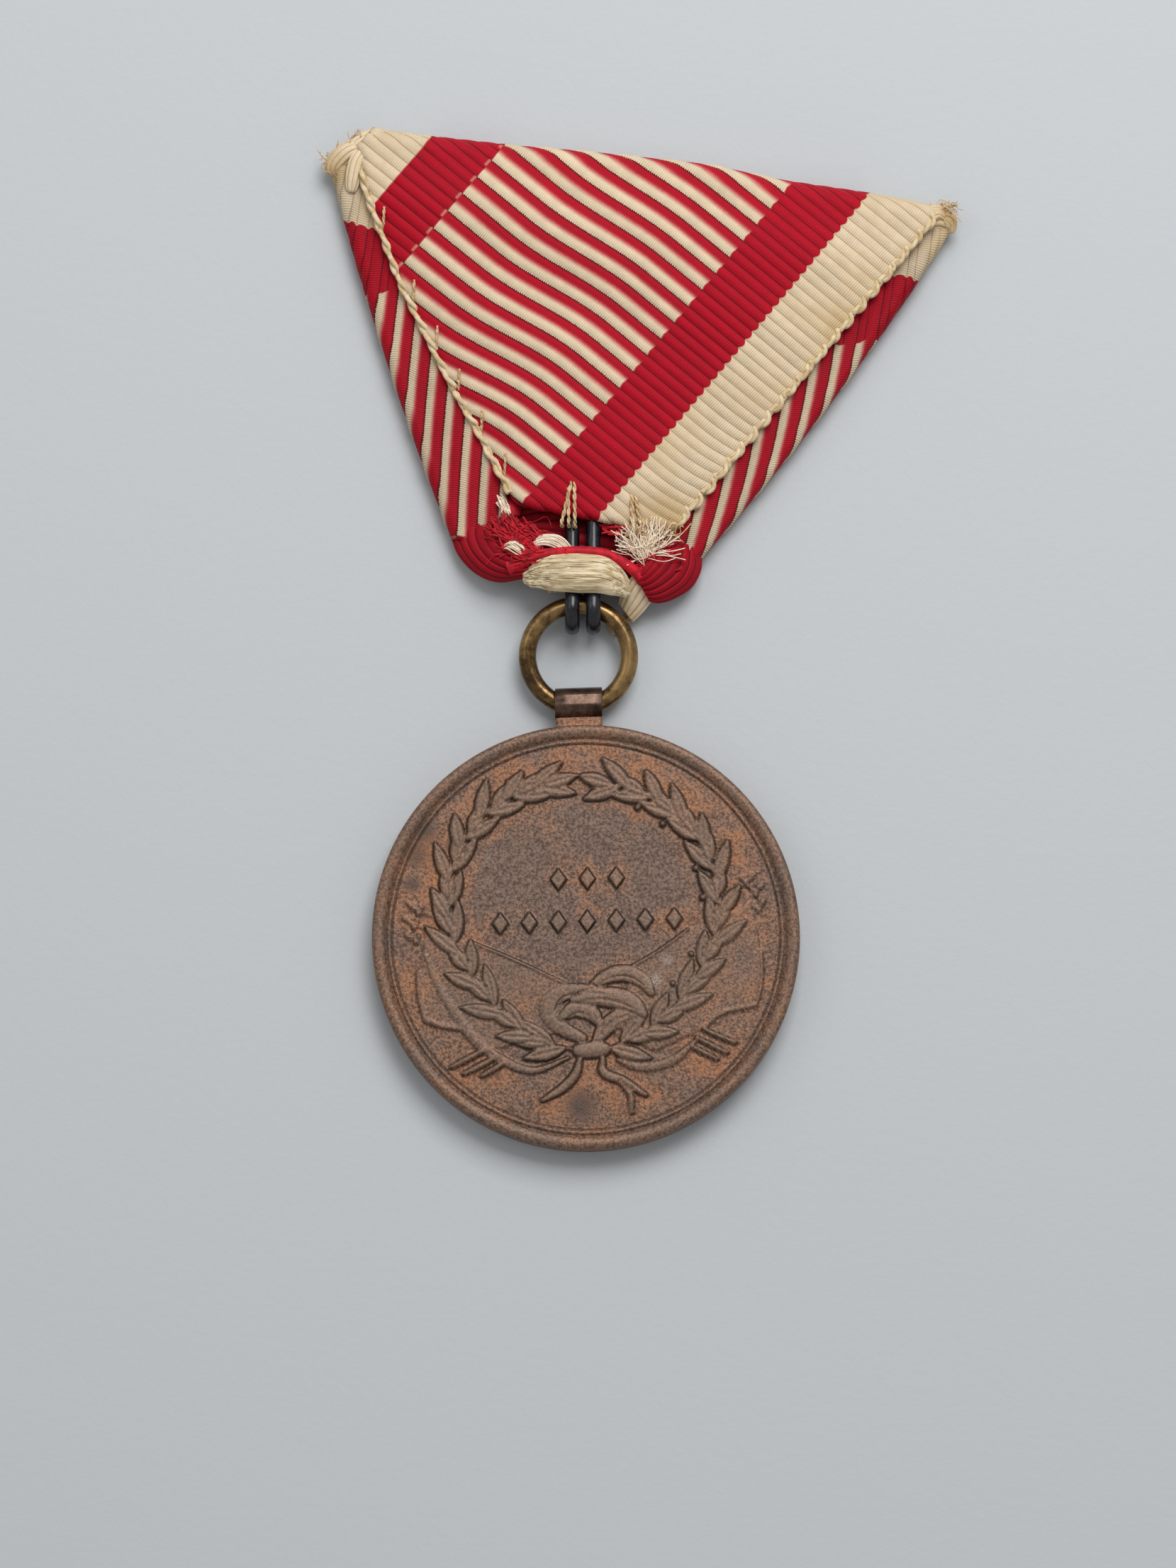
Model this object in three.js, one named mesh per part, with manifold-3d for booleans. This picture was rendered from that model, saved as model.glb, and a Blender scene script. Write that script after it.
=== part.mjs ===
// A struck bronze bravery medal on its ring, hook and folded three-corner ribbon, lying face down.
// Millimetres. The origin is the centre of the disc's flat underside, +Y runs up to the ribbon, and
// +Z points up at the back of the medal and of the ribbon, which is the side on view.

import * as THREE from 'three';
import Module from 'manifold-3d';
import { mergeVertices } from 'three/addons/utils/BufferGeometryUtils.js';

const wasm = await Module();
wasm.setup();

// Disc
const DISC_RADIUS = 15.5;
const RIM_TOP = 2.5;
const FIELD_TOP = 2.15;
const RIM_WIDTH = 1.05;
const RELIEF = 0.22;
const MEDAL_TURN = THREE.MathUtils.degToRad(1.8);

// Neck and the strip rolled into a suspension loop
const NECK_WIDTH = 3.4;
const NECK_TOP = 15.85;
const LOOP_Y = 17.15;
const LOOP_Z = 1.25;
const LOOP_OUTER = 1.2;
const LOOP_INNER = 0.95;

// Ring
const RING_RADIUS = 3.72;
const RING_WIRE = 0.64;
const RING_TOP_Z = 1.87;
const RING_DROP_IN_LOOP = 0.2;
const RING_X = -0.55;

// Hook of doubled wire
const HOOK_WIRE = 0.53;
const HOOK_LEG_X = [-1.0, 0.54];
const HOOK_BEND_Y = 24.1;
const HOOK_BEND_Z = 1.96;
const HOOK_BEND_RADIUS = 1.42;
const HOOK_LEG_Z = 2.3;
const HOOK_TIP_Y = 25.4;
const HOOK_TIP_Z = 0.56;
const HOOK_EYE_Y = 33.6;
const HOOK_EYE_RADIUS = 1.25;

// Ribbon
const CLOTH = 0.45;
const THREAD = 0.18;
const LASH = 0.42;
const STITCH_PLACES = [0.02, 0.17, 0.32, 0.49, 0.62, 0.74];

const V = (x, y, z) => new THREE.Vector3(x, y, z);
const lerp = THREE.MathUtils.lerp;
const smooth = THREE.MathUtils.smoothstep;

const BRONZE = { color: 0x7a5a48, roughness: 0.55, metalness: 0.8 };
const STRIP_BRONZE = { color: 0x5a463a, roughness: 0.35, metalness: 0.85 };
const RING_BRASS = { color: 0x786440, roughness: 0.35, metalness: 0.9 };
const BLACK_WIRE = { color: 0x202024, roughness: 0.3, metalness: 0.4 };
const RED_CLOTH = { color: 0xb0182e, roughness: 0.85, metalness: 0 };
const CREAM_CLOTH = { color: 0xded0b4, roughness: 0.9, metalness: 0 };
const LADDER_CLOTH = { color: 0xd09088, roughness: 0.88, metalness: 0 };
const BEIGE_THREAD = { color: 0xc8a878, roughness: 0.9, metalness: 0 };

// ---- helpers -------------------------------------------------------------------------------------

// Positions only, shared vertices merged, faces turned outward.
function closed(geometry) {
  const flat = geometry.clone();
  for (const name of Object.keys(flat.attributes)) {
    if (name !== 'position') flat.deleteAttribute(name);
  }
  const merged = mergeVertices(flat, 1e-4);
  const at = merged.attributes.position;
  const index = Array.from(merged.index.array);
  const [a, b, c] = [V(), V(), V()];
  let volume = 0;
  const kept = [];
  for (let i = 0; i < index.length; i += 3) {
    const [p, q, r] = index.slice(i, i + 3);
    if (p === q || q === r || r === p) continue;
    kept.push(p, q, r);
    a.fromBufferAttribute(at, p);
    b.fromBufferAttribute(at, q);
    c.fromBufferAttribute(at, r);
    volume += a.dot(b.cross(c));
  }
  if (volume < 0) kept.reverse();
  merged.setIndex(kept);
  return merged;
}

function toSolid(geometry) {
  const mesh = closed(geometry);
  return new wasm.Manifold(new wasm.Mesh({
    numProp: 3,
    vertProperties: new Float32Array(mesh.attributes.position.array),
    triVerts: new Uint32Array(mesh.index.array),
  }));
}

function fromSolid(solid) {
  const mesh = solid.getMesh();
  const geometry = new THREE.BufferGeometry();
  geometry.setAttribute('position', new THREE.BufferAttribute(mesh.vertProperties, 3));
  geometry.setIndex(Array.from(mesh.triVerts));
  return geometry;
}

function piece(name, geometry, look) {
  const body = closed(geometry);
  body.computeVertexNormals();
  const mesh = new THREE.Mesh(body, new THREE.MeshStandardMaterial(look));
  mesh.name = name;
  return mesh;
}

// A closed sheet: middle surface point(u, v), thickened by half of thickness(u, v) to each side.
function sheet(point, thickness, across, along) {
  const positions = [];
  const index = [];
  const step = 1e-3;
  for (const side of [1, -1]) {
    for (let j = 0; j <= along; j++) {
      for (let i = 0; i <= across; i++) {
        const [u, v] = [i / across, j / along];
        const middle = point(u, v);
        const du = point(Math.min(u + step, 1), v).sub(point(Math.max(u - step, 0), v));
        const dv = point(u, Math.min(v + step, 1)).sub(point(u, Math.max(v - step, 0)));
        const normal = du.cross(dv).normalize();
        positions.push(...middle.addScaledVector(normal, side * thickness(u, v) / 2).toArray());
      }
    }
  }
  const layer = (across + 1) * (along + 1);
  const at = (i, j, k) => k * layer + j * (across + 1) + i;
  const quad = (a, b, c, d) => index.push(a, b, c, a, c, d);
  for (let j = 0; j < along; j++) {
    for (let i = 0; i < across; i++) {
      quad(at(i, j, 0), at(i + 1, j, 0), at(i + 1, j + 1, 0), at(i, j + 1, 0));
      quad(at(i, j, 1), at(i, j + 1, 1), at(i + 1, j + 1, 1), at(i + 1, j, 1));
    }
  }
  for (let i = 0; i < across; i++) {
    quad(at(i, 0, 1), at(i + 1, 0, 1), at(i + 1, 0, 0), at(i, 0, 0));
    quad(at(i, along, 0), at(i + 1, along, 0), at(i + 1, along, 1), at(i, along, 1));
  }
  for (let j = 0; j < along; j++) {
    quad(at(0, j, 0), at(0, j + 1, 0), at(0, j + 1, 1), at(0, j, 1));
    quad(at(across, j, 1), at(across, j + 1, 1), at(across, j + 1, 0), at(across, j, 0));
  }
  const geometry = new THREE.BufferGeometry();
  geometry.setAttribute('position', new THREE.Float32BufferAttribute(positions, 3));
  geometry.setIndex(index);
  return geometry;
}

// A soft roll: flattened round sections along a curve, width(t) wide and flat times that high, closed.
function roll(points, width, flat, steps) {
  const sides = 10;
  const curve = new THREE.CatmullRomCurve3(points);
  const positions = [];
  const index = [];
  for (let j = 0; j <= steps; j++) {
    const centre = curve.getPoint(j / steps);
    const along = curve.getTangent(j / steps);
    const across = V(-along.y, along.x, 0).normalize();
    for (let i = 0; i < sides; i++) {
      const angle = (2 * Math.PI * i) / sides;
      const half = width(j / steps) / 2;
      const corner = centre.clone().addScaledVector(across, half * Math.cos(angle));
      positions.push(corner.x, corner.y, corner.z + flat * half * Math.sin(angle));
    }
  }
  for (let j = 0; j < steps; j++) {
    for (let i = 0; i < sides; i++) {
      const next = (i + 1) % sides;
      const [a, b] = [j * sides + i, j * sides + next];
      index.push(a, b, b + sides, a, b + sides, a + sides);
    }
  }
  for (let i = 1; i < sides - 1; i++) {
    const last = steps * sides;
    index.push(0, i + 1, i, last, last + i, last + i + 1);
  }
  const geometry = new THREE.BufferGeometry();
  geometry.setAttribute('position', new THREE.Float32BufferAttribute(positions, 3));
  geometry.setIndex(index);
  return geometry;
}

// Full in the middle, half as wide at both ends.
const plump = (width) => (t) => width * (0.5 + 0.5 * Math.sqrt(Math.max(4 * t * (1 - t), 0)));

function wire(points, radius, sides, steps) {
  const section = new THREE.Shape();
  section.absarc(0, 0, radius, 0, 2 * Math.PI);
  return new THREE.ExtrudeGeometry(section, {
    extrudePath: new THREE.CatmullRomCurve3(points, false, 'centripetal'),
    curveSegments: sides / 2,
    steps,
  });
}

// ---- medal disc ----------------------------------------------------------------------------------

const BRANCH_LEAVES = 9;
const BRANCH_START = -0.5 * Math.PI;
const BRANCH_SWEEP = THREE.MathUtils.degToRad(172);

// A point of the left laurel branch, which climbs from the bow to the top while it moves outward.
function branchPoint(s) {
  const angle = BRANCH_START - s * BRANCH_SWEEP;
  const radius = lerp(7.8, 11.3, Math.pow(s, 0.7));
  return new THREE.Vector2(radius * Math.cos(angle), radius * Math.sin(angle));
}

function raised(shape, height, x, y, turn, mirrored) {
  const sunk = 0.15;
  const block = new THREE.ExtrudeGeometry(shape, {
    depth: height + sunk, bevelEnabled: false, curveSegments: 4,
  });
  block.rotateZ(turn);
  block.translate(x, y, FIELD_TOP - sunk);
  if (mirrored) block.scale(-1, 1, 1);
  return block;
}

function leafShape(length, width) {
  const leaf = new THREE.Shape();
  leaf.moveTo(0, 0);
  leaf.quadraticCurveTo(0.45 * length, width, length, 0);
  leaf.quadraticCurveTo(0.45 * length, -width, 0, 0);
  return leaf;
}

function bandShape(points, width) {
  const curve = new THREE.SplineCurve(points.map(([x, y]) => new THREE.Vector2(x, y)));
  const near = [];
  const far = [];
  const steps = 8;
  for (let i = 0; i <= steps; i++) {
    const at = curve.getPoint(i / steps);
    const along = curve.getTangent(i / steps);
    near.push(new THREE.Vector2(at.x - along.y * width / 2, at.y + along.x * width / 2));
    far.unshift(new THREE.Vector2(at.x + along.y * width / 2, at.y - along.x * width / 2));
  }
  return new THREE.Shape([...near, ...far]);
}

function wreathHalf(mirrored) {
  const parts = [];
  for (let i = 0; i < BRANCH_LEAVES; i++) {
    const s = (i + 0.4) / BRANCH_LEAVES;
    const at = branchPoint(s);
    const ahead = branchPoint(s + 0.02).sub(at);
    const heading = Math.atan2(ahead.y, ahead.x);
    for (const lean of [0.42, -0.42]) {
      parts.push(raised(leafShape(3.5, 1.05), RELIEF, at.x, at.y, heading + lean, mirrored));
    }
  }
  const stem = Array.from({ length: 9 }, (_, i) => branchPoint(i / 8).toArray());
  parts.push(raised(bandShape(stem, 0.4), 0.8 * RELIEF, 0, 0, 0, mirrored));
  return parts;
}

function flagsHalf(mirrored) {
  const slope = THREE.MathUtils.degToRad(-25);
  const cloth = new THREE.Shape();
  cloth.moveTo(-1.4, -3.5);
  cloth.lineTo(-12.2, 1.2);
  cloth.quadraticCurveTo(-12.6, -3, -12.0, -6.2);
  cloth.lineTo(-9.6, -6.6);
  cloth.quadraticCurveTo(-6.5, -9.6, -1.6, -8.4);
  const parts = [raised(cloth, 0.3 * RELIEF, 0, 0, 0, mirrored)];
  for (const row of [0, 1, 2]) {
    const tip = raised(leafShape(1.3, 0.5), RELIEF, -12.4 + 0.1 * row, 2.9 - 1.05 * row,
      Math.PI + slope, mirrored);
    const foot = raised(bandShape([[6.4, -8.2], [9.9, -9.6]], 0.35), RELIEF,
      0.5 - 0.5 * row, 1.2 - 0.85 * row, 0, mirrored);
    parts.push(tip, foot);
  }
  return parts;
}

function bow() {
  const parts = [];
  for (const mirrored of [false, true]) {
    parts.push(raised(bandShape([[0, -8.2], [-2.6, -7.6], [-3.6, -5.4], [-1.4, -4.3], [0, -6.4]], 0.7),
      RELIEF, 0, 0, 0, mirrored));
    parts.push(raised(bandShape([[-0.6, -8.3], [-1.0, -10.2], [-2.6, -11.6]], 0.7),
      RELIEF, 0, 0, 0, mirrored));
  }
  const knot = new THREE.Shape();
  knot.absarc(0, -8.2, 0.8, 0, 2 * Math.PI);
  parts.push(raised(knot, 1.2 * RELIEF, 0, 0, 0, false));
  return parts;
}

// Two plain rows of lozenges fill the centre of the field.
function lozenges() {
  const diamond = new THREE.Shape([
    new THREE.Vector2(0.55, 0), new THREE.Vector2(0, 0.8),
    new THREE.Vector2(-0.55, 0), new THREE.Vector2(0, -0.8),
  ]);
  const parts = [];
  for (const [count, y] of [[3, 4.2], [7, 1.1]]) {
    for (let i = 0; i < count; i++) {
      parts.push(raised(diamond, 0.8 * RELIEF, 2.1 * (i - (count - 1) / 2), y, 0, false));
    }
  }
  return parts;
}

function medalDisc() {
  const inner = DISC_RADIUS - RIM_WIDTH;
  const profile = [
    [0, 0], [DISC_RADIUS - 1.6, 0], [DISC_RADIUS - 1.5, 0.12], [DISC_RADIUS - 1.4, 0],
    [DISC_RADIUS - 0.3, 0], [DISC_RADIUS, 0.35],
    [DISC_RADIUS, RIM_TOP - 0.4], [DISC_RADIUS - 0.3, RIM_TOP], [inner + 0.25, RIM_TOP - 0.05],
    [inner, FIELD_TOP - 0.05], [inner - 0.15, FIELD_TOP + 0.12], [inner - 0.35, FIELD_TOP + 0.12],
    [inner - 0.5, FIELD_TOP], [0, FIELD_TOP],
  ].map(([x, y]) => new THREE.Vector2(x, y));
  const coin = new THREE.LatheGeometry(profile, 80);
  coin.rotateX(Math.PI / 2);
  let solid = toSolid(coin);

  const neck = new THREE.Shape();
  const half = NECK_WIDTH / 2;
  neck.moveTo(-half - 1.1, 14.6);
  neck.lineTo(-half - 1.1, 15.1);
  neck.quadraticCurveTo(-half, 15.25, -half, NECK_TOP);
  neck.lineTo(half, NECK_TOP);
  neck.quadraticCurveTo(half, 15.25, half + 1.1, 15.1);
  neck.lineTo(half + 1.1, 14.6);
  const neckBlock = new THREE.ExtrudeGeometry(neck, { depth: 1.5, bevelEnabled: false, curveSegments: 5 });
  neckBlock.translate(0, 0, LOOP_Z - 0.75);
  solid = solid.add(toSolid(neckBlock));

  const relief = [
    ...flagsHalf(false), ...flagsHalf(true), ...wreathHalf(false), ...wreathHalf(true),
    ...bow(), ...lozenges(),
  ];
  for (const part of relief) solid = solid.add(toSolid(part));
  return fromSolid(solid);
}

function suspensionLoop() {
  const section = new THREE.Shape();
  section.absarc(0, 0, LOOP_OUTER, 0, 2 * Math.PI);
  const bore = new THREE.Path();
  bore.absarc(0, 0, LOOP_INNER, 0, 2 * Math.PI);
  section.holes.push(bore);
  const tube = new THREE.ExtrudeGeometry(section, {
    depth: NECK_WIDTH, bevelEnabled: false, curveSegments: 14,
  });
  tube.translate(0, 0, -NECK_WIDTH / 2);
  tube.rotateY(Math.PI / 2);
  tube.translate(0, LOOP_Y, LOOP_Z);
  return tube;
}

// ---- ring and hook -------------------------------------------------------------------------------

const loopCentre = V(0, LOOP_Y, LOOP_Z).applyAxisAngle(V(0, 0, 1), MEDAL_TURN);
const ringTilt = Math.asin((RING_TOP_Z - LOOP_Z) / (2 * RING_RADIUS));
const ringCentreY = loopCentre.y + (RING_RADIUS - RING_DROP_IN_LOOP) * Math.cos(ringTilt);
const ringCentreZ = RING_TOP_Z - RING_RADIUS * Math.sin(ringTilt);

function suspensionRing() {
  const ring = new THREE.TorusGeometry(RING_RADIUS, RING_WIRE, 10, 40);
  ring.rotateX(ringTilt);
  ring.translate(RING_X, ringCentreY, ringCentreZ);
  return ring;
}

// One wire: eye, upper leg, round the ring, lower leg, turn at the tip, and the same way back.
function hookHalf(x, outward) {
  const points = [];
  for (let i = 0; i <= 6; i++) {
    const angle = lerp(-2.2, 1.9, i / 6);
    points.push(V(
      x + outward * (HOOK_EYE_RADIUS - HOOK_EYE_RADIUS * Math.sin(angle)),
      HOOK_EYE_Y + HOOK_EYE_RADIUS * Math.cos(angle),
      HOOK_LEG_Z,
    ));
  }
  points.splice(-1);
  points.push(V(x, HOOK_EYE_Y - 1.6, HOOK_LEG_Z), V(x, 30, HOOK_LEG_Z), V(x, 26.4, HOOK_LEG_Z + 0.45));
  for (let i = 0; i <= 6; i++) {
    const angle = Math.PI / 2 + (i / 6) * Math.PI;
    points.push(V(
      x,
      HOOK_BEND_Y + HOOK_BEND_RADIUS * Math.cos(angle),
      HOOK_BEND_Z + HOOK_BEND_RADIUS * Math.sin(angle),
    ));
  }
  return points;
}

function wireHook() {
  const middle = (HOOK_LEG_X[0] + HOOK_LEG_X[1]) / 2;
  const half = (HOOK_LEG_X[1] - HOOK_LEG_X[0]) / 2;
  const tip = [];
  for (let i = 0; i <= 4; i++) {
    const angle = Math.PI - (i / 4) * Math.PI;
    tip.push(V(middle + half * Math.cos(angle), HOOK_TIP_Y + half * Math.sin(angle), HOOK_TIP_Z));
  }
  const points = [...hookHalf(HOOK_LEG_X[0], -1), ...tip, ...hookHalf(HOOK_LEG_X[1], 1).reverse()];
  return wire(points, HOOK_WIRE, 8, 96);
}

// ---- ribbon --------------------------------------------------------------------------------------

// Straight line between two [x, y] corners, bowed sideways by a middle offset.
function edge([x0, y0], [x1, y1], bow) {
  const length = Math.hypot(x1 - x0, y1 - y0);
  return (t) => {
    const out = bow * 4 * t * (1 - t);
    return [
      lerp(x0, x1, t) - out * (y1 - y0) / length,
      lerp(y0, y1, t) + out * (x1 - x0) / length,
    ];
  };
}

// A panel ruled between a left and a right edge, both climbing from the bottom; height gives its z.
function panel(left, right, height, thickness, across, along) {
  return sheet((u, v) => {
    const [x0, y0] = left(v);
    const [x1, y1] = right(v);
    return V(lerp(x0, x1, u), lerp(y0, y1, u), height(u, v));
  }, () => thickness, across, along);
}

const outerLeft = edge([-9.6, 29.4], [-18.5, 56.6], 0.5);
const outerRight = edge([7.9, 27.9], [26.4, 52.4], -0.7);
const backLeft = edge([-4.8, 31.9], [-15.2, 57.9], 0.7);
const backRight = edge([7.2, 30.6], [25.5, 53.3], 0);

function frontPanel() {
  return panel(outerLeft, outerRight, (u) => 0.3 + 0.2 * Math.abs(2 * u - 1) ** 6, CLOTH, 12, 8);
}

// The cloth that wraps round an outer edge and runs in under the back panel.
function flap(outer, start, inward, sign) {
  return sheet((u, v) => {
    const [x, y] = outer(lerp(start, 0.97, v));
    const reach = u * inward(v);
    return V(x + sign * (reach + 0.1), y - 0.1 * reach, 1.2 + 0.75 * Math.sqrt(u) * (1 - 0.3 * v));
  }, () => CLOTH, 6, 10);
}

// Puffed in the middle, drawn down along the top fold.
function backPanel() {
  return panel(backLeft, backRight, (u, v) => {
    const puff = (4 * u * (1 - u)) ** 0.6;
    return 2.75 + puff * (lerp(0.85, 0.35, v) - 0.9 * smooth(v, 0.85, 1));
  }, CLOTH, 14, 14);
}

// The lower selvedge, drawn together over the legs of the hook.
function selvedgeBunch() {
  const ridge = [V(-4.0, 26.9, 3.3), V(-2.4, 26.8, 3.9), V(-0.5, 26.7, 4.1), V(1.4, 26.5, 3.95), V(2.6, 26.1, 3.5)];
  return roll(ridge, plump(2.9), 0.36, 12);
}

function leftGather() {
  const ridge = [V(-9.0, 28.7, 1.7), V(-8.0, 27.9, 1.9), V(-6.2, 27.6, 2.2), V(-4.6, 27.5, 2.3)];
  return roll(ridge, plump(3.0), 0.8, 10);
}

function rightGather() {
  const ridge = [V(7.4, 27.5, 1.7), V(7.0, 26.5, 2.0), V(5.6, 26.1, 2.1), V(4.3, 26.5, 2.2)];
  return roll(ridge, plump(3.0), 0.8, 10);
}

function endTuck() {
  const left = edge([2.7, 24.3], [3.5, 25.6], 0);
  const right = edge([4.4, 23.7], [5.6, 25.6], 0);
  return panel(left, right, () => 0.4, CLOTH, 4, 3);
}

function leftCorner() {
  return roll([V(-18.3, 57.6, 1.1), V(-17.1, 58.5, 1.4), V(-15.7, 59.1, 1.6)], plump(1.7), 0.9, 8);
}

function rightCorner() {
  return roll([V(26.2, 53.9, 1.6), V(26.8, 53.5, 1.5), V(27.1, 52.8, 1.3)], plump(1.3), 0.9, 6);
}

// ---- sewing --------------------------------------------------------------------------------------

// A lash over the bottom edge of the back panel, down to an eye of the hook.
function lash(x, top, bottom, lean) {
  return wire([
    V(x + lean, top, 4.15), V(x + 0.6 * lean, lerp(bottom, top, 0.6), 4.3),
    V(x, bottom + 0.6, 4.15), V(x, bottom - 0.15, 3.55),
  ], LASH, 8, 8);
}

// Frayed yarn ends beside the hook.
function frayedYarn(x, y, z, reach) {
  return roll([V(x - reach, y + 0.3, z - 0.2), V(x, y, z), V(x + reach, y - 0.2, z - 0.2)], plump(1.7), 0.45, 8);
}

// The thread that runs along the turned-in left edge of the back panel.
function edgeSeam() {
  const places = Array.from({ length: 9 }, (_, i) => {
    const [x, y] = backLeft(lerp(0.01, 0.7, i / 8));
    return V(x - 0.55, y, 2.72);
  });
  return wire(places, 0.25, 6, 16);
}

function edgeStitch(t) {
  const [x, y] = backLeft(t);
  return wire([
    V(x + 0.7, y + 0.6, 3.62), V(x + 0.3, y + 0.3, 3.52),
    V(x - 0.35, y - 0.2, 3.3), V(x - 0.75, y - 0.45, 3.2),
  ], THREAD, 6, 6);
}

// ---- assembly ------------------------------------------------------------------------------------

const object = new THREE.Group();

const medal = new THREE.Group();
medal.rotation.z = MEDAL_TURN;
medal.add(piece('medal_disc', medalDisc(), BRONZE));
medal.add(piece('suspension_loop', suspensionLoop(), STRIP_BRONZE));
object.add(medal);

object.add(piece('suspension_ring', suspensionRing(), RING_BRASS));
object.add(piece('wire_hook', wireHook(), BLACK_WIRE));

object.add(piece('ribbon_front_panel', frontPanel(), LADDER_CLOTH));
object.add(piece('ribbon_left_flap', flap(outerLeft, 0.04, (v) => lerp(4.4, 3.6, v), 1), LADDER_CLOTH));
object.add(piece('ribbon_right_flap', flap(outerRight, 0.08, (v) => lerp(2.6, 4.6, v), -1), LADDER_CLOTH));
object.add(piece('ribbon_back_panel', backPanel(), LADDER_CLOTH));
object.add(piece('ribbon_left_gather', leftGather(), RED_CLOTH));
object.add(piece('ribbon_right_gather', rightGather(), RED_CLOTH));
object.add(piece('ribbon_selvedge_bunch', selvedgeBunch(), CREAM_CLOTH));
object.add(piece('ribbon_end_tuck', endTuck(), CREAM_CLOTH));
object.add(piece('ribbon_left_corner', leftCorner(), CREAM_CLOTH));
object.add(piece('ribbon_right_corner', rightCorner(), CREAM_CLOTH));
object.add(piece('frayed_yarn_left', frayedYarn(-4.0, 30.0, 2.4, 1.5), RED_CLOTH));
object.add(piece('frayed_yarn_right', frayedYarn(4.3, 28.8, 2.4, 1.8), CREAM_CLOTH));

object.add(piece('lash_left', lash(-1.2, 33.3, 30.6, 0.1), BEIGE_THREAD));
object.add(piece('lash_right', lash(3.7, 32.1, 30.0, -0.1), BEIGE_THREAD));
object.add(piece('edge_seam', edgeSeam(), BEIGE_THREAD));
STITCH_PLACES.forEach((t, i) => {
  object.add(piece(`edge_stitch_${i + 1}`, edgeStitch(t), BEIGE_THREAD));
});

export default object;
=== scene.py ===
"""A struck bronze medal lying face down, with its ring, black wire hook and folded striped ribbon.

Sizes inside the helpers are millimetres in the part's own frame. They become metres when a mesh is made.
"""
import math

import bpy
import numpy as np
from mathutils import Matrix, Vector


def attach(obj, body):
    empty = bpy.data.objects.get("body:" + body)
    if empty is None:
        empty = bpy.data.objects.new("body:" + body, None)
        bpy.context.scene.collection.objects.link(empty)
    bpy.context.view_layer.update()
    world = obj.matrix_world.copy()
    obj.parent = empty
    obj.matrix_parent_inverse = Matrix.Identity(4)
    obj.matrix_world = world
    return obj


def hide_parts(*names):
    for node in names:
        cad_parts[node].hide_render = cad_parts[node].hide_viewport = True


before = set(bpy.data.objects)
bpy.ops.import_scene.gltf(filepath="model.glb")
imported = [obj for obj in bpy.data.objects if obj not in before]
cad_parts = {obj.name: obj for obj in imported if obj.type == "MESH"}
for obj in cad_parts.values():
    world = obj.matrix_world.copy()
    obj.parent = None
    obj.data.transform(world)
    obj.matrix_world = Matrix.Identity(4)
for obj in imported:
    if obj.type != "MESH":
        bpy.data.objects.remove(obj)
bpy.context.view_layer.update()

METRE = 0.001
WELD = 1e-5
TURN = 2 * math.pi
RNG = np.random.default_rng(7)

# Disc
FIELD_RADIUS = 13.9
FIELD_STEPS = 138
FIELD_TOP = 2.15
RELIEF = 0.36
MEDAL_TURN = math.radians(1.8)
DISC_SPOKES = 528

# Loop, ring and hook
LOOP_Y, LOOP_Z = 17.15, 1.25
LOOP_STEPS, NECK_STEPS = 96, 48
RING_RADIUS, RING_WIRE, RING_X = 3.72, 0.64, -0.55
RING_CENTRE_Y, RING_CENTRE_Z, RING_TILT = 20.649, 1.56, math.radians(4.78)
RING_STEPS, RING_SIDES = 144, 28
HOOK_WIRE, HOOK_SIDES = 0.53, 20
BRIDGE_WIRE, BRIDGE_SIDES = 0.34, 14
HOOK_LEGS = (-1.0, 0.54)

# Ribbon: distances across it are from its right selvedge, distances along it run up the back panel
CREAM_END, RED_END, LADDER_END, RED_BACK = 4.9, 9.8, 27.85, 32.4
RUNG = 1.575
CLOTH = 0.15
CORD = 0.22
TOP_CURL = 1.05
EDGE_CURL = 0.3
OUTER_CURL = 0.6
CORD_SIDES = 8
RIBBON_STRETCH, RIBBON_LEAN = 1.008, 0.13


# ---- shapes --------------------------------------------------------------------------------------

def eased(x, low, high):
    """0 below low, 1 above high, and 3t^2 - 2t^3 between."""
    t = np.clip((x - low) / (high - low), 0, 1)
    return t * t * (3 - 2 * t)


def unit(v):
    """Vectors of length one."""
    return v / np.maximum(np.linalg.norm(v, axis=-1, keepdims=True), 1e-12)


def mixed(a, b, t):
    """a at t = 0, b at t = 1."""
    return a + (b - a) * t


def turns(count):
    """Angles once round, evenly spaced from 0."""
    return np.arange(count) * TURN / count


def plump(t):
    """Half an ellipse: 0 at t = 0 and t = 1, 1 between them."""
    return np.sqrt(np.clip(4 * t * (1 - t), 0, 1))


def signed_power(x, power):
    """|x|^power with the sign of x, which squares off a round section."""
    return np.sign(x) * np.abs(x) ** power


def table(x, places, values, blur=1.0):
    """Straight lines through the listed values, rounded at their corners by a mean over five near places."""
    return sum(np.interp(x + blur * k, places, values) for k in (-1, -0.5, 0, 0.5, 1)) / 5


def spline(points, count):
    """A cubic through the points that leaves each one along the chord of its neighbours (Catmull-Rom)."""
    p = np.asarray(points, float)
    p = np.vstack([2 * p[0] - p[1], p, 2 * p[-1] - p[-2]])
    t = np.linspace(0, len(p) - 3, count)
    i = np.minimum(t.astype(int), len(p) - 4)
    f = (t - i)[:, None]
    a, b, c, d = p[i], p[i + 1], p[i + 2], p[i + 3]
    return b + 0.5 * f * (c - a + f * (2 * a - 5 * b + 4 * c - d + f * (3 * (b - c) + d - a)))


def grid_quads(rows, columns, wrap=False, start=0):
    """Corner numbers of the quads of a rows x columns grid; wrap joins the last column to the first."""
    number = start + np.arange(rows * columns).reshape(rows, columns)
    if wrap:
        number = np.hstack([number, number[:, :1]])
    a, b = number[:-1, :-1], number[:-1, 1:]
    c, d = number[1:, 1:], number[1:, :-1]
    return np.stack([a, b, c, d], -1).reshape(-1, 4)


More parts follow.
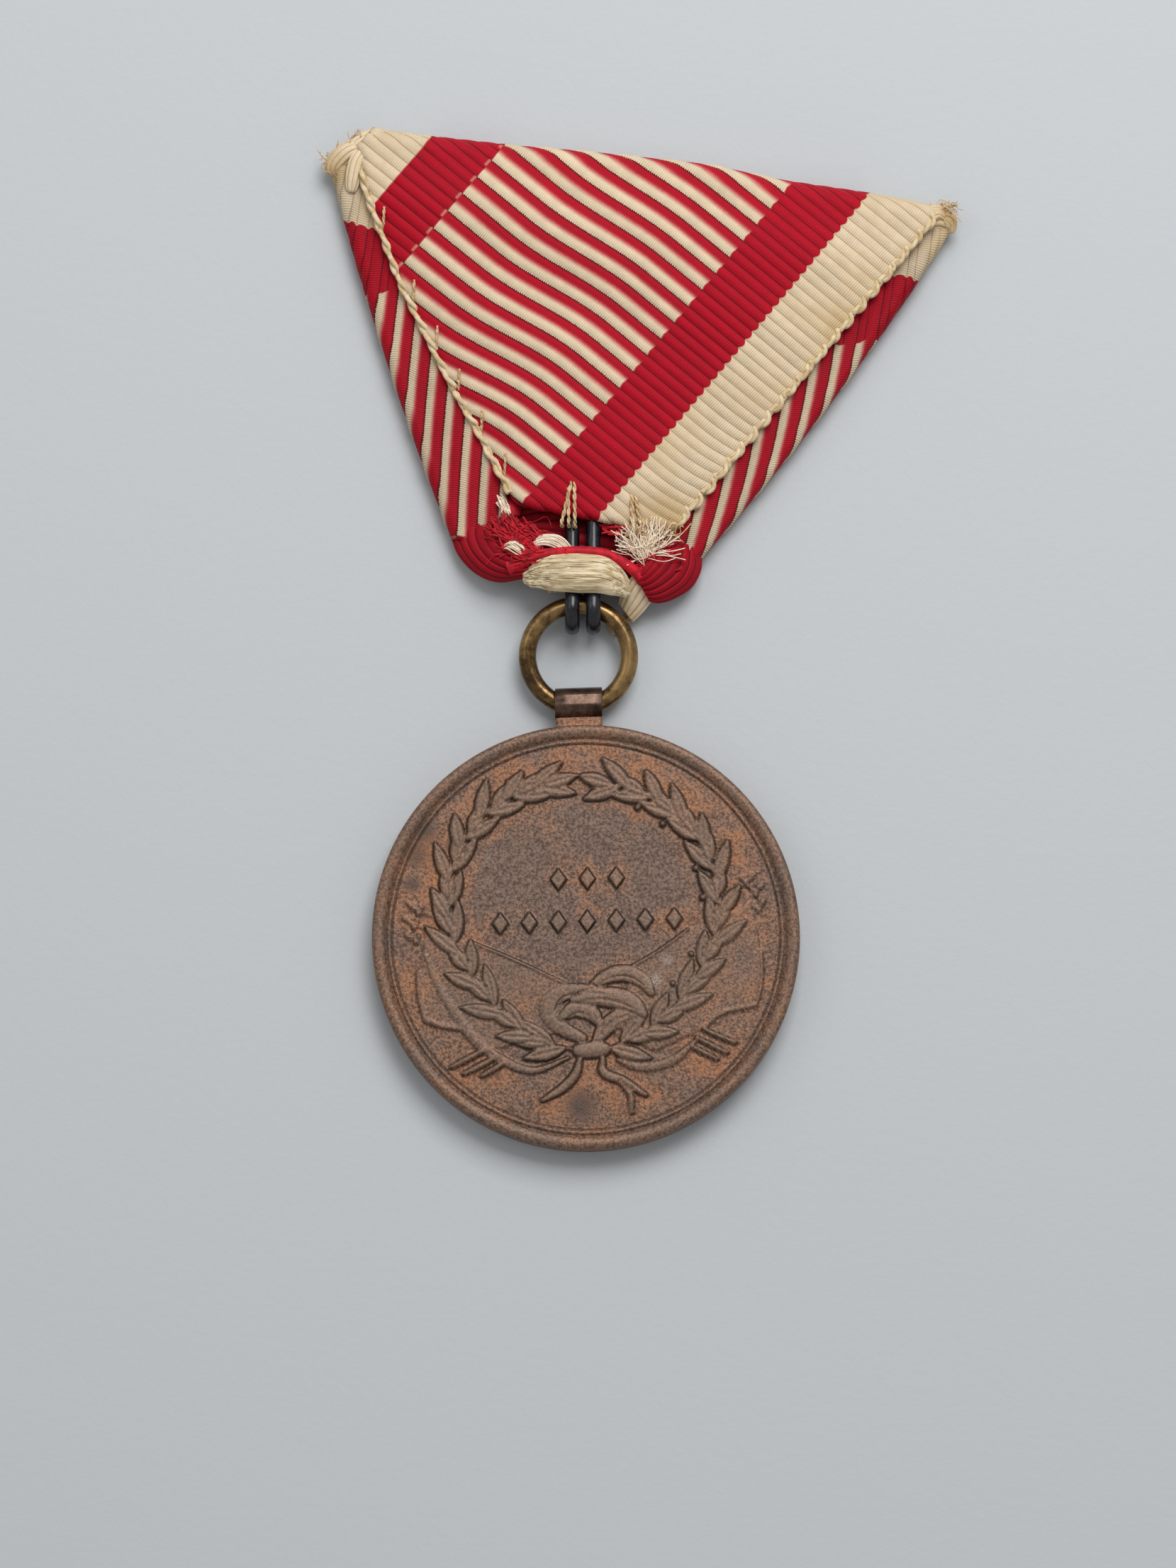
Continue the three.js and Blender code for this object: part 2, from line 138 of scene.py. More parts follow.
def both_ways(rows, columns):
    """Corner numbers of a grid whose last row and last column join the first."""
    return np.pad(np.arange(rows * columns).reshape(rows, columns), ((0, 1), (0, 1)), mode="wrap")


def many_quads(count, rows, columns, wrap=True):
    """The same grid of quads, once for each of count grids."""
    one = grid_quads(rows, columns, wrap)
    return (one[None] + (np.arange(count) * rows * columns)[:, None, None]).reshape(-1, 4)


def drawn_in(rings):
    """Rings of points with the first and the last again as a single point, so that both ends close."""
    first, last = rings[..., :1, :, :], rings[..., -1:, :, :]
    ends = [np.broadcast_to(ring.mean(-2, keepdims=True), ring.shape) for ring in (first, last)]
    return np.concatenate([ends[0], rings, ends[1]], axis=-3)


def tube(rings):
    """Points and quads of a closed form from rings of points."""
    return rings.reshape(-1, 3), grid_quads(len(rings), rings.shape[1], wrap=True)


def carried(path, radius, sides, up=(1, 1, 1), flat=1.0):
    """Rings of points round paths: centre + radius * (side cos a + flat * rise sin a), ends drawn to a point."""
    path = np.asarray(path, float)
    radius = np.broadcast_to(radius, path.shape[:-1]).copy()
    along = unit(np.gradient(path, axis=-2))
    side = unit(np.cross(along, np.asarray(up, float)))
    rise = np.cross(side, along)
    a = turns(sides)
    ring = side[..., None, :] * np.cos(a)[:, None] + flat * rise[..., None, :] * np.sin(a)[:, None]
    around = path[..., None, :] + radius[..., None, None] * ring
    return drawn_in(around)


def bundle(paths, radius, sides=5, up=(1, 1, 1)):
    """Points and quads of many thin strands; paths is strands x steps x 3."""
    points = carried(paths, radius, sides, up)
    count, rows = points.shape[0], points.shape[1]
    return points.reshape(-1, 3), many_quads(count, rows, sides)


def joined(*parts):
    """Several (points, quads) as one."""
    points, quads, start = [], [], 0
    for p, q in parts:
        points.append(p.reshape(-1, 3))
        quads.append(q + start)
        start += len(points[-1])
    return np.vstack(points), np.vstack(quads)


def skins(over, under):
    """Two skins of a sheet on one grid, with a wall round the border: points and quads of the closed form."""
    rows, columns = over.shape[:2]
    layer = rows * columns
    number = np.arange(layer).reshape(rows, columns)
    border = np.concatenate([number[0, :-1], number[:-1, -1], number[-1, :0:-1], number[:0:-1, 0]])
    following = np.roll(border, -1)
    top = grid_quads(rows, columns)
    wall = np.stack([border, border + layer, following + layer, following], -1)
    return np.vstack([over.reshape(-1, 3), under.reshape(-1, 3)]), np.vstack([top, top[:, ::-1] + layer, wall])


def welded(points, quads):
    """Corners at one place become one; a quad left with three corners is a triangle, with two it goes."""
    cells = np.round(points / WELD).astype(np.int64)
    _, first, where = np.unique(cells, axis=0, return_index=True, return_inverse=True)
    quads = where.reshape(-1)[quads]
    same = quads == np.roll(quads, -1, axis=1)
    crossed = (quads[:, 0] == quads[:, 2]) | (quads[:, 1] == quads[:, 3])
    whole = quads[(same.sum(1) == 0) & ~crossed]
    thin = (same.sum(1) == 1) & ~crossed
    kept = np.arange(4)[None] != same[thin].argmax(1)[:, None]
    return first, whole, quads[thin][kept].reshape(-1, 3)


def settled(points):
    """The folded ribbon leans towards the ring as it rises, and is drawn out a little along its length."""
    x, y, z = points.T
    return np.column_stack([x, RIBBON_STRETCH * y - RIBBON_LEAN * z, z])


def made(name, body, slot, material, shape, replaced=(), weave=None):
    """A mesh piece from (points, quads), closed and turned outwards, riding a body of the frame.

    Cloth and yarn lean with the folded ribbon. The wire hook doesn't.
    """
    points, quads = shape
    if body == "ribbon" and slot != "black_wire":
        points = settled(points)
    first, whole, thin = welded(points, quads)
    points = points[first]
    corners = np.vstack([whole[:, :3], whole[:, [0, 2, 3]], thin])
    a, b, c = points[corners[:, 0]], points[corners[:, 1]], points[corners[:, 2]]
    if np.einsum("ij,ij->i", a, np.cross(b, c)).sum() < 0:
        whole, thin = whole[:, ::-1], thin[:, ::-1]
    mesh = bpy.data.meshes.new(name)
    mesh.from_pydata((points * METRE).tolist(), [], whole.tolist() + thin.tolist())
    mesh.polygons.foreach_set("use_smooth", np.ones(len(mesh.polygons), bool))
    if weave is not None:
        mark = mesh.attributes.new("weave", "FLOAT_VECTOR", "POINT")
        mark.data.foreach_set("vector", weave.reshape(-1, 3)[first].astype(np.float32).ravel())
    mesh.materials.append(material)
    mesh.update()
    piece = bpy.data.objects.new(name, mesh)
    bpy.context.collection.objects.link(piece)
    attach(piece, body)
    if replaced:
        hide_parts(*replaced)
    return piece


# ---- materials -----------------------------------------------------------------------------------

def colour(red, green, blue):
    """Display values 0-255 as linear light."""
    v = np.array([red, green, blue]) / 255
    v = np.where(v <= 0.04045, v / 12.92, ((v + 0.055) / 1.055) ** 2.4)
    return (*v.tolist(), 1.0)


class Recipe:
    """A material's node tree, written as sums."""

    def __init__(self, name):
        self.material = bpy.data.materials.new(name)
        self.material.use_nodes = True
        self.tree = self.material.node_tree
        self.shader = self.tree.nodes["Principled BSDF"]

    def node(self, kind, inputs=(), **settings):
        n = self.tree.nodes.new(kind)
        for key, value in settings.items():
            setattr(n, key, value)
        for key, value in dict(inputs).items():
            self.put(n.inputs[key], value)
        return n

    def put(self, socket, value):
        if isinstance(value, bpy.types.NodeSocket):
            self.tree.links.new(value, socket)
        else:
            socket.default_value = value

    def sum(self, operation, *values, clamp=False):
        n = self.node("ShaderNodeMath", operation=operation, use_clamp=clamp)
        for socket, value in zip(n.inputs, values):
            self.put(socket, value)
        return n.outputs[0]

    def times(self, a, b, clamp=False):
        return self.sum("MULTIPLY", a, b, clamp=clamp)

    def plus(self, a, b):
        return self.sum("ADD", a, b)

    def line(self, x, slope, start, clamp=False):
        """slope * x + start."""
        return self.sum("MULTIPLY_ADD", x, slope, start, clamp=clamp)

    def marks(self):
        """The three values that the piece carries in its weave attribute."""
        n = self.node("ShaderNodeAttribute", attribute_name="weave")
        parts = self.node("ShaderNodeSeparateXYZ")
        self.put(parts.inputs[0], n.outputs["Vector"])
        return list(parts.outputs)

    def step(self, value, low, high):
        """0 below low, 1 above high."""
        n = self.node("ShaderNodeMapRange", {"From Min": low, "From Max": high}, interpolation_type="SMOOTHSTEP")
        self.put(n.inputs["Value"], value)
        return n.outputs["Result"]

    def mix(self, factor, a, b, blend="MIX"):
        n = self.node("ShaderNodeMix", data_type="RGBA", blend_type=blend)
        self.put(n.inputs["Factor"], factor)
        self.put(n.inputs["A"], a)
        self.put(n.inputs["B"], b)
        return n.outputs["Result"]

    def place(self):
        return self.node("ShaderNodeTexCoord").outputs["Object"]

    def noise(self, scale, detail=3.0, roughness=0.55, at=None):
        """Noise on the piece's own coordinates; scale is features a metre."""
        n = self.node("ShaderNodeTexNoise", {"Scale": scale, "Detail": detail, "Roughness": roughness})
        self.put(n.inputs["Vector"], at or self.place())
        return n.outputs["Fac"]

    def near(self, centre, low, high):
        """1 within low of a point given in millimetres, fading to 0 at high."""
        n = self.node("ShaderNodeVectorMath", operation="DISTANCE")
        self.put(n.inputs[0], self.place())
        n.inputs[1].default_value = [c * METRE for c in centre]
        return self.step(n.outputs["Value"], high * METRE, low * METRE)

    def ramp(self, value, stops):
        n = self.node("ShaderNodeValToRGB")
        n.color_ramp.elements[0].position, n.color_ramp.elements[0].color = stops[0]
        n.color_ramp.elements[1].position, n.color_ramp.elements[1].color = stops[-1]
        for position, shade in stops[1:-1]:
            n.color_ramp.elements.new(position).color = shade
        self.put(n.inputs["Fac"], value)
        return n.outputs["Color"]

    def bump(self, height, depth, strength=1.0):
        """depth is in millimetres."""
        n = self.node("ShaderNodeBump", {"Strength": strength, "Distance": depth * METRE})
        self.put(n.inputs["Height"], height)
        self.put(self.shader.inputs["Normal"], n.outputs["Normal"])

    def finish(self, **values):
        for key, value in values.items():
            self.put(self.shader.inputs[key.replace("_", " ")], value)
        return self.material


AGED_MOST, IN_SHADE, DEEP_SHADE = 0.8, 1.1, 2.0
WARP_PITCH = 0.17
CREAM = colour(220, 199, 168)
CREAM_AGED = colour(200, 172, 122)
# Painted shade: the darker cream for the grooves between cords
CREAM_GROOVE_SHADE = colour(150, 122, 90)
RED = colour(174, 4, 31)
# Painted shade: the darker red for the grooves between cords and under the ladder's cream cords
RED_GROOVE_SHADE = colour(66, 2, 12)
PINK = colour(200, 108, 102)
RED_SOFT = colour(182, 36, 50)


def woven_ribbon():
    """Striped ribbon. The weave attribute holds mm from the selvedge, rungs along it, and how aged and how shaded the
    cloth is.

    The third value blotches the cloth with age up to AGED_MOST, and above IN_SHADE it darkens the cloth as painted
    shade.
    """
    r = Recipe("striped_ribbon_weave")
    across, rungs, age_and_shade = r.marks()

    grain = r.noise(900, 4, 0.6)
    speck = r.noise(5200, 2, 0.6)
    warp_wave = r.sum("SINE", r.times(across, TURN / WARP_PITCH))
    tooth = r.times(r.plus(warp_wave, r.line(speck, 3.0, -1.5)), 0.018)
    part = r.sum("FRACT", r.plus(rungs, tooth))
    smooth_part = r.sum("FRACT", r.plus(rungs, r.line(speck, 0.08, -0.04)))
    cords = r.sum("ABSOLUTE", r.sum("SINE", r.times(rungs, TURN)))

    # The ladder runs from cream through pink to red as the weave does; its dark stops at both ends are painted shade in
    # the groove under each raised cream cord.
    ladder = r.ramp(part, [
        (0.0, colour(130, 84, 66)), (0.035, CREAM), (0.36, CREAM), (0.45, colour(212, 164, 142)), (0.53, PINK),
        (0.61, RED_SOFT), (0.70, RED), (0.92, RED), (0.975, RED_GROOVE_SHADE), (1.0, RED_GROOVE_SHADE)])
    groove = r.step(cords, 0.34, 0.0)
    wavy = r.line(cords, 0.22, across)
    ladder_edge = r.line(r.sum("ABSOLUTE", r.sum("SUBTRACT", smooth_part, 0.24)), 0.3, across)
    red_in = r.step(wavy, CREAM_END + 0.08, CREAM_END + 0.2)
    red_out = r.step(across, RED_BACK + 0.08, RED_BACK - 0.08)
    in_red = r.times(red_in, red_out)
    in_ladder = r.times(r.step(ladder_edge, RED_END - 0.02, RED_END + 0.12),
                      r.step(across, LADDER_END + 0.06, LADDER_END - 0.06))
    # Painted shade: the cream and the red are darkened in the grooves between the cords.
    cream = r.mix(r.times(groove, 0.7), CREAM, CREAM_GROOVE_SHADE)
    red = r.mix(r.times(groove, 0.85), RED, RED_GROOVE_SHADE)
    cloth = r.mix(in_red, cream, red)
    cloth = r.mix(in_ladder, cloth, ladder)
    from_edge = r.sum("ABSOLUTE", r.sum("SUBTRACT", across, LADDER_END + 0.12))
    nick = r.times(r.step(from_edge, 0.16, 0.04), r.step(smooth_part, 0.62, 0.66))
    cloth = r.mix(r.times(nick, 0.3), cloth, CREAM)

    thread_tone_and_shade = r.line(warp_wave, 0.1, 0.95)
    thread_tone_and_shade = r.plus(thread_tone_and_shade, r.line(grain, 0.34, -0.17))
    cord_tone = r.node("ShaderNodeTexWhiteNoise", noise_dimensions="1D")
    r.put(cord_tone.inputs["W"], r.sum("FLOOR", r.times(rungs, 2.0)))
    thread_tone_and_shade = r.plus(thread_tone_and_shade, r.line(cord_tone.outputs["Value"], 0.09, -0.045))
    # Painted shade: where the third weave value is above IN_SHADE, on the flaps and gathers, the cloth is darkened up
    # to DEEP_SHADE.
    thread_tone_and_shade = r.sum("SUBTRACT", thread_tone_and_shade, r.times(r.step(age_and_shade, IN_SHADE, DEEP_SHADE), 0.28))
    shade = r.node("ShaderNodeCombineColor")
    for socket in ("Red", "Green", "Blue"):
        r.put(shade.inputs[socket], thread_tone_and_shade)
    cloth = r.mix(1.0, cloth, shade.outputs[0], "MULTIPLY")

    blotch = r.step(r.noise(240, 4, 0.6), 0.42, 0.68)
    not_red = r.sum("SUBTRACT", 1.0, in_red)
    blotched = r.times(r.sum("MINIMUM", age_and_shade, AGED_MOST), blotch)
    cloth = r.mix(r.times(blotched, r.times(not_red, 0.85)), cloth, CREAM_AGED)
    selvedge = r.times(r.step(across, 0.9, 0.0), 0.45)
    cloth = r.mix(selvedge, cloth, CREAM_AGED)
    stains = [((19.5, 44.5, 3), 0.3, 3.4, 0.35), ((26.6, 53.4, 1.6), 0.2, 1.7, 0.9),
              ((-18.6, 57.0, 1.2), 0.2, 2.4, 0.7), ((5.5, 30.6, 3), 0.4, 3.2, 0.5)]
    for centre, low, high, strength in stains:
        stain = r.times(r.near(centre, low, high), r.times(not_red, strength))
        cloth = r.mix(stain, cloth, colour(178, 146, 92))

    height = r.plus(r.times(warp_wave, 0.5), speck)
    r.bump(height, 0.03, 0.9)
    return r.finish(Base_Color=cloth, Roughness=r.line(grain, 0.2, 0.52),
                    Specular_IOR_Level=0.16, Sheen_Weight=0.04, Sheen_Roughness=0.4)


def fibres(name, light, dark, streak=1800, roughness=0.6, stretch=(1, 1, 1)):
    """Loose yarn: streaks of a lighter and a darker shade, drawn out where stretch is below 1."""
    r = Recipe(name)
    drawn = r.node("ShaderNodeVectorMath", operation="MULTIPLY")
    r.put(drawn.inputs[0], r.place())
    drawn.inputs[1].default_value = stretch
    tone = r.noise(streak, 3, 0.6, drawn.outputs[0])
    shade = r.mix(r.step(tone, 0.35, 0.65), dark, light)
    r.bump(r.noise(streak * 4, 2, 0.5, drawn.outputs[0]), 0.02, 0.6)
    return r.finish(Base_Color=shade, Roughness=r.line(tone, 0.2, roughness - 0.1),
                    Sheen_Weight=0.1, Sheen_Roughness=0.4, Specular_IOR_Level=0.3)


def aged_bronze():
    """Brown patina with a grainy copper bloom between the relief and towards the rim, and darker spots.

    The weave attribute holds the relief's height, how near relief is, and how steep its foot is, each 0-1.
    """
    r = Recipe("aged_bronze")
    place = r.place()
    flat = r.node("ShaderNodeVectorMath", operation="MULTIPLY")
    r.put(flat.inputs[0], place)
    flat.inputs[1].default_value = (1, 1, 0)
    radius = r.node("ShaderNodeVectorMath", operation="LENGTH")
    r.put(radius.inputs[0], flat.outputs[0])
    from_centre = radius.outputs["Value"]
    height, beside, foot = r.marks()

    fine = r.noise(13000, 2, 0.7)
    mid = r.noise(4800, 4, 0.7)
    broad = r.noise(330, 4, 0.6)
    to_rim = r.times(r.step(from_centre, 0.0085, 0.0128), 0.42)
    bloom = r.plus(r.times(beside, 0.7), to_rim)
    bloom = r.plus(bloom, r.line(broad, 2.6, -1.35))
    bloom = r.times(r.line(height, -0.8, 1.0, clamp=True), bloom, clamp=True)
    speckle = r.plus(r.line(fine, 0.9, -0.45), r.line(mid, 1.1, -0.55))
    grains = r.step(speckle, -0.12, 0.22)
    shade = r.mix(r.step(mid, 0.35, 0.68), colour(76, 57, 48), colour(134, 110, 96))
    shade = r.mix(r.times(height, 0.4), shade, colour(134, 112, 94))
    copper = r.mix(fine, colour(140, 84, 50), colour(212, 146, 92))
    shade = r.mix(r.times(bloom, grains), shade, copper)
    shade = r.mix(r.times(r.step(bloom, 0.35, 1.0), 0.22), shade, colour(150, 96, 64))
    # The steep foot of low relief and the rim's grooves darken, partly as patina in the hollows, partly as painted
    # shade.
    shade = r.mix(r.times(foot, 0.9), shade, colour(30, 20, 16))
    dark = colour(44, 42, 40)
    dark_spots = [((-12.3, 6.0, 2), 0.2, 1.5), ((-11.6, 7.6, 2), 0.2, 1.3), ((-12.6, 3.8, 2), 0.1, 1.0),
                  ((-9.6, 6.6, 2), 0.1, 0.9), ((9.0, -0.5, 2), 0.1, 0.6), ((-0.4, -12.2, 2), 0.3, 1.8),
                  ((-11.7, 1.7, 2), 0.1, 0.8)]
    for centre, low, high in dark_spots:
        spot = r.times(r.near(centre, low, high), r.step(mid, 0.38, 0.62))
        shade = r.mix(r.times(spot, 0.8), shade, dark)
    pale_rubs = [((5.0, -3.2, 2.3), 0.9), ((5.9, -1.7, 2.3), 0.7), ((-7.1, 5.6, 2.3), 0.35),
                 ((3.6, -5.3, 2.3), 0.3)]
    for centre, high in pale_rubs:
        spot = r.times(r.near(centre, 0.02, high), r.step(fine, 0.45, 0.6))
        shade = r.mix(r.times(spot, 0.6), shade, colour(188, 178, 168))
    pit = r.plus(r.times(fine, 0.5), mid)
    r.bump(pit, 0.045, 0.8)
    return r.finish(Base_Color=shade, Metallic=0.4, Roughness=r.line(mid, 0.3, 0.3),
                    Specular_IOR_Level=0.4)


def worn_metal(name, base, worn, roughness, metallic, scale=700, grain=0.02):
    """Metal with cloudy wear and fine scratches."""
    r = Recipe(name)
    cloud = r.noise(scale, 5, 0.65)
    fine = r.noise(scale * 9, 2, 0.6)
    shade = r.mix(r.step(r.line(fine, 0.35, cloud), 0.5, 0.82), base, worn)
    r.bump(r.plus(cloud, r.times(fine, 0.4)), grain, 0.6)
    return r.finish(Base_Color=shade, Metallic=metallic,
                    Roughness=r.line(cloud, 0.3, roughness - 0.12))


RIBBON = woven_ribbon()
CREAM_YARN = fibres("cream_yarn", colour(250, 236, 216), colour(234, 212, 184))
BUNCH_YARN = fibres("greyed_cream_yarn", colour(232, 216, 184), colour(178, 154, 112), 4200, 0.55,
                    (0.06, 1, 1))
RED_YARN = fibres("red_yarn", colour(206, 8, 36), colour(150, 2, 24))
BEIGE_THREAD = fibres("beige_thread", colour(220, 190, 146), colour(176, 142, 98), 2600)
EDGE_YARN = fibres("aged_selvedge_yarn", colour(224, 204, 170), colour(196, 168, 122), 1400)
BRONZE = aged_bronze()
STRIP = worn_metal("strip_bronze", colour(48, 34, 28), colour(98, 76, 64), 0.3, 0.8, 500)
BRASS = worn_metal("ring_brass", colour(80, 60, 38), colour(158, 128, 84), 0.26, 0.92, 260, 0.012)
BLACK = worn_metal("black_wire", colour(14, 14, 18), colour(40, 40, 46), 0.2, 0.2, 500, 0.006)


# ---- medal disc ----------------------------------------------------------------------------------

def segment_distance(x, y, a, b):
    """Distance from each point to the straight line from a to b, and how far along it the nearest place is."""
    dx, dy = b[0] - a[0], b[1] - a[1]
    t = np.clip(((x - a[0]) * dx + (y - a[1]) * dy) / (dx * dx + dy * dy), 0, 1)
    return np.hypot(x - a[0] - t * dx, y - a[1] - t * dy), t


def ridge(x, y, points, width, height, taper=0.35):
    """A rounded band along a curve: height * (1 - (distance / half width)^3)^0.6, narrower towards its ends."""
    line = spline(points, 4 * len(points))
    best = np.zeros_like(x)
    last = len(line) - 2
    for i in range(last + 1):
        distance, t = segment_distance(x, y, line[i], line[i + 1])
        place = (i + t) / (last + 1)
        half = width / 2 * (1 - taper * np.abs(2 * place - 1) ** 2)
        best = np.maximum(best, np.clip(1 - (distance / half) ** 3, 0, 1) ** 0.6)
    return height * best


def plateau(x, y, corners, height, soft):
    """A raised field inside a polygon: the height rises from its outline over soft, by the even-odd rule."""
    inside = np.zeros(x.shape, bool)
    nearest = np.full(x.shape, 99.0)
    for a, b in zip(corners, corners[1:] + corners[:1]):
        crosses = ((a[1] > y) != (b[1] > y)) & (x < (b[0] - a[0]) * (y - a[1]) / (b[1] - a[1] + 1e-9) + a[0])
        inside ^= crosses
        nearest = np.minimum(nearest, segment_distance(x, y, a, b)[0])
    return height * np.where(inside, eased(nearest, -0.02, soft), 0)


def leaf(x, y, root, heading, length, width, height):
    """A pointed leaf: half width (sin pi t)^0.8 along it, domed across, with a groove for its midrib."""
    dx, dy = x - root[0], y - root[1]
    along = dx * math.cos(heading) + dy * math.sin(heading)
    across = dy * math.cos(heading) - dx * math.sin(heading)
    t = np.clip(along / length, 0, 1)
    half = width / 2 * np.sin(math.pi * t ** 0.85) ** 0.8
    dome = np.clip(1 - np.abs(across / np.maximum(half, 1e-3)) ** 3.5, 0, 1) ** 0.6
    midrib = 1 - 0.35 * np.exp(-(across / 0.08) ** 2) * (t < 0.8)
    return height * np.where((half > 0.02) & (along > 0) & (along < length), dome * midrib, 0)


LEFT_BRANCH = [(-0.6, -8.3), (-3.6, -7.5), (-6.2, -5.5), (-8.3, -2.9), (-9.7, 0.2), (-9.9, 3.4), (-9.1, 6.5),
               (-7.3, 8.9), (-5.0, 10.4), (-2.7, 11.1)]
RIGHT_BRANCH = [(0.9, -8.4), (3.8, -7.2), (6.4, -5.1), (8.4, -2.2), (9.5, 0.6), (9.5, 3.6), (8.5, 6.5),
                (6.7, 8.7), (4.3, 10.4), (1.4, 11.2)]
LEAF_ROWS, LEAF_WIDTH = 11, 1.12
STEM_STEPS = 9 * LEAF_ROWS + 2


def laid_over(z, form, low):
    """A form struck over what lies under it: its outline stands at low, so that it shows against its neighbours."""
    return np.where(form > 0, low + form * (1 - low / RELIEF), z)


def relief_height(x, y):
    """Everything struck on the back: crossed flags, two laurel branches tied with a bow, and rows of lozenges."""
    z = plateau(x, y, [(-8.1, -0.5), (-1.4, -3.5), (-1.8, -7.0), (-7.0, -8.4), (-9.1, -6.6), (-11.8, -6.2),
                       (-12.2, -3.2), (-11.6, 0.6)], 0.28 * RELIEF, 0.12)
    z = np.maximum(z, plateau(x, y, [(3.3, -2.2), (7.0, 0.2), (12.0, 2.6), (12.7, -1.1), (12.6, -3.2), (12.2, -5.0),
                                     (9.7, -5.6), (8.4, -6.8), (5.0, -8.4), (2.0, -7.2)], 0.28 * RELIEF, 0.12))
    strokes = [
        (0.85, 0.55, 0.7, [[(-11.6, -1.4), (-10.7, -3.6), (-9.1, -6.1), (-7.4, -8.1), (-4.1, -9.75), (-1.2, -8.8)]]),
        (0.8, 0.5, 0.6, [[(7.9, -7.6), (6.2, -9.05), (4.0, -9.5), (2.3, -9.0)]]),
        (0.5, 0.5, 0.1, [[(-12.1, -2.6), (-12.0, -4.4), (-11.6, -6.1)], [(-11.6, -6.1), (-10.4, -6.5), (-8.8, -6.75)]]),
        (0.3, 0.5, 0.1, [[(-8.1, -0.5), (-4.8, -1.9), (-1.4, -3.5)], [(3.3, -2.2), (5.2, -1.1), (7.4, 0.5)]]),
        (0.35, 0.45, 0.1, [[(12.7, -1.1), (12.7, -3.2), (12.3, -5.0)], [(12.3, -5.0), (9.8, -5.6), (8.5, -6.7)]]),
        (0.5, 0.8, 0.3, [[(-9.7, -9.5), (-7.2, -8.2)], [(-8.8, -10.0), (-6.4, -8.75)], [(-7.5, -10.15), (-5.9, -9.2)]]),
        (0.42, 0.8, 0.3, [[(8.5, -6.75), (10.8, -7.75)], [(8.0, -7.35), (10.2, -8.5)], [(7.6, -7.95), (9.5, -8.95)]]),
        (0.2, 0.25, 0.1, [[(-12.4, 2.0), (-11.2, 1.5)], [(-12.8, 1.1), (-11.3, 0.4)], [(-12.8, -0.1), (-11.4, -0.6)],
                          [(11.9, 4.2), (11.0, 3.4)], [(12.6, 3.6), (11.4, 2.5)], [(12.9, 2.4), (11.8, 1.3)]]),
    ]
    bow = [
        ([(0.5, -3.6), (1.6, -2.9), (2.9, -2.7), (4.1, -3.2), (4.7, -4.1)], 1.3, 0.75, 0.5),
        ([(-0.3, -7.4), (-1.7, -6.7), (-2.7, -5.7), (-2.5, -4.6), (-1.2, -4.0), (0.5, -3.9)], 1.35, 0.6, 0.4),
        ([(0.6, -7.9), (1.4, -6.7), (2.7, -5.7), (4.1, -5.6)], 1.3, 0.75, 0.6),
        ([(-1.9, -6.0), (-0.8, -5.3), (0.4, -5.6), (1.0, -6.4)], 1.3, 0.7, 0.6),
        ([(-0.9, -4.6), (0.6, -4.4), (2.2, -4.5), (3.4, -4.9), (4.2, -5.7)], 1.6, 0.9, 0.6),
        ([(-0.4, -8.8), (-0.8, -10.1), (-1.8, -11.1), (-3.1, -11.9)], 0.75, 0.8, 0.5),
        ([(1.2, -8.8), (1.3, -9.9), (2.7, -10.5), (4.3, -11.5)], 0.75, 0.8, 0.5),
        ([(2.5, -10.6), (3.2, -11.5), (3.3, -12.8)], 0.5, 0.6, 0.3),
        ([(-0.5, -8.3), (1.3, -8.2)], 1.3, 1.1, 0.2),
    ]
    for width, height, taper, lines in strokes:
        for points in lines:
            z = np.maximum(z, ridge(x, y, points, width, height * RELIEF, taper))
    spears = [((-12.1, 1.9), 2.7), ((-12.4, 0.9), 2.7), ((-12.3, -0.2), 2.8),
              ((11.6, 4.0), 0.7), ((12.2, 3.3), 0.7), ((12.4, 2.1), 0.8)]
    for tip, heading in spears:
        for lean, size in ((0, 1.0), (1.9, 0.5), (-1.9, 0.5)):
            z = np.maximum(z, leaf(x, y, tip, heading + lean, size, 0.42, 0.6 * RELIEF))
    for side, branch in ((1, LEFT_BRANCH), (-1, RIGHT_BRANCH)):
        z = np.maximum(z, ridge(x, y, branch, 0.34, 0.6 * RELIEF, 0.3))
        stem = spline(branch, STEM_STEPS)
        last = STEM_STEPS - 1
        for k in range(LEAF_ROWS):
            i = 3 + 9 * k
            heading = math.atan2(*(stem[min(i + 2, last)] - stem[i])[::-1])
            height = RELIEF * (0.9 + 0.1 * (k % 2))
            for lean, shift, size in ((0.52, 0, 3.0), (-0.5, 3, 3.0), (0.04, 5, 2.6)):
                turn = heading + side * lean + 0.08 * math.sin(5 * k + 9 * lean)
                length = size + 0.3 * math.cos(3 * k + lean)
                form = leaf(x, y, stem[min(i + shift, last - 1)], turn, length, LEAF_WIDTH, height)
                z = laid_over(z, form, 0.3 * RELIEF)
            if k % 3 != 1:
                away = np.array([math.cos(heading + 1.9), math.sin(heading + 1.9)])
                berry = stem[min(i + 6, last)] + 1.15 * away
                dome = 1 - ((x - berry[0]) ** 2 + (y - berry[1]) ** 2) / 0.06
                z = np.maximum(z, RELIEF * np.sqrt(np.clip(dome, 0, 1)))
    for points, width, height, taper in bow:
        z = laid_over(z, ridge(x, y, points, width, height * RELIEF, taper), 0.25 * RELIEF)
    creases = [
        [(-2.3, -5.5), (-1.7, -4.5), (-0.2, -4.15), (1.4, -4.2)],
        [(-0.6, -4.85), (0.9, -4.6), (2.4, -4.85), (3.5, -5.3)],
        [(0.9, -3.55), (2.0, -3.0), (3.2, -3.0), (4.2, -3.6)],
        [(1.0, -7.3), (1.8, -6.3), (3.2, -5.7)], [(-1.6, -6.2), (-0.7, -5.6), (0.3, -5.8)],
    ]
    for line in creases:
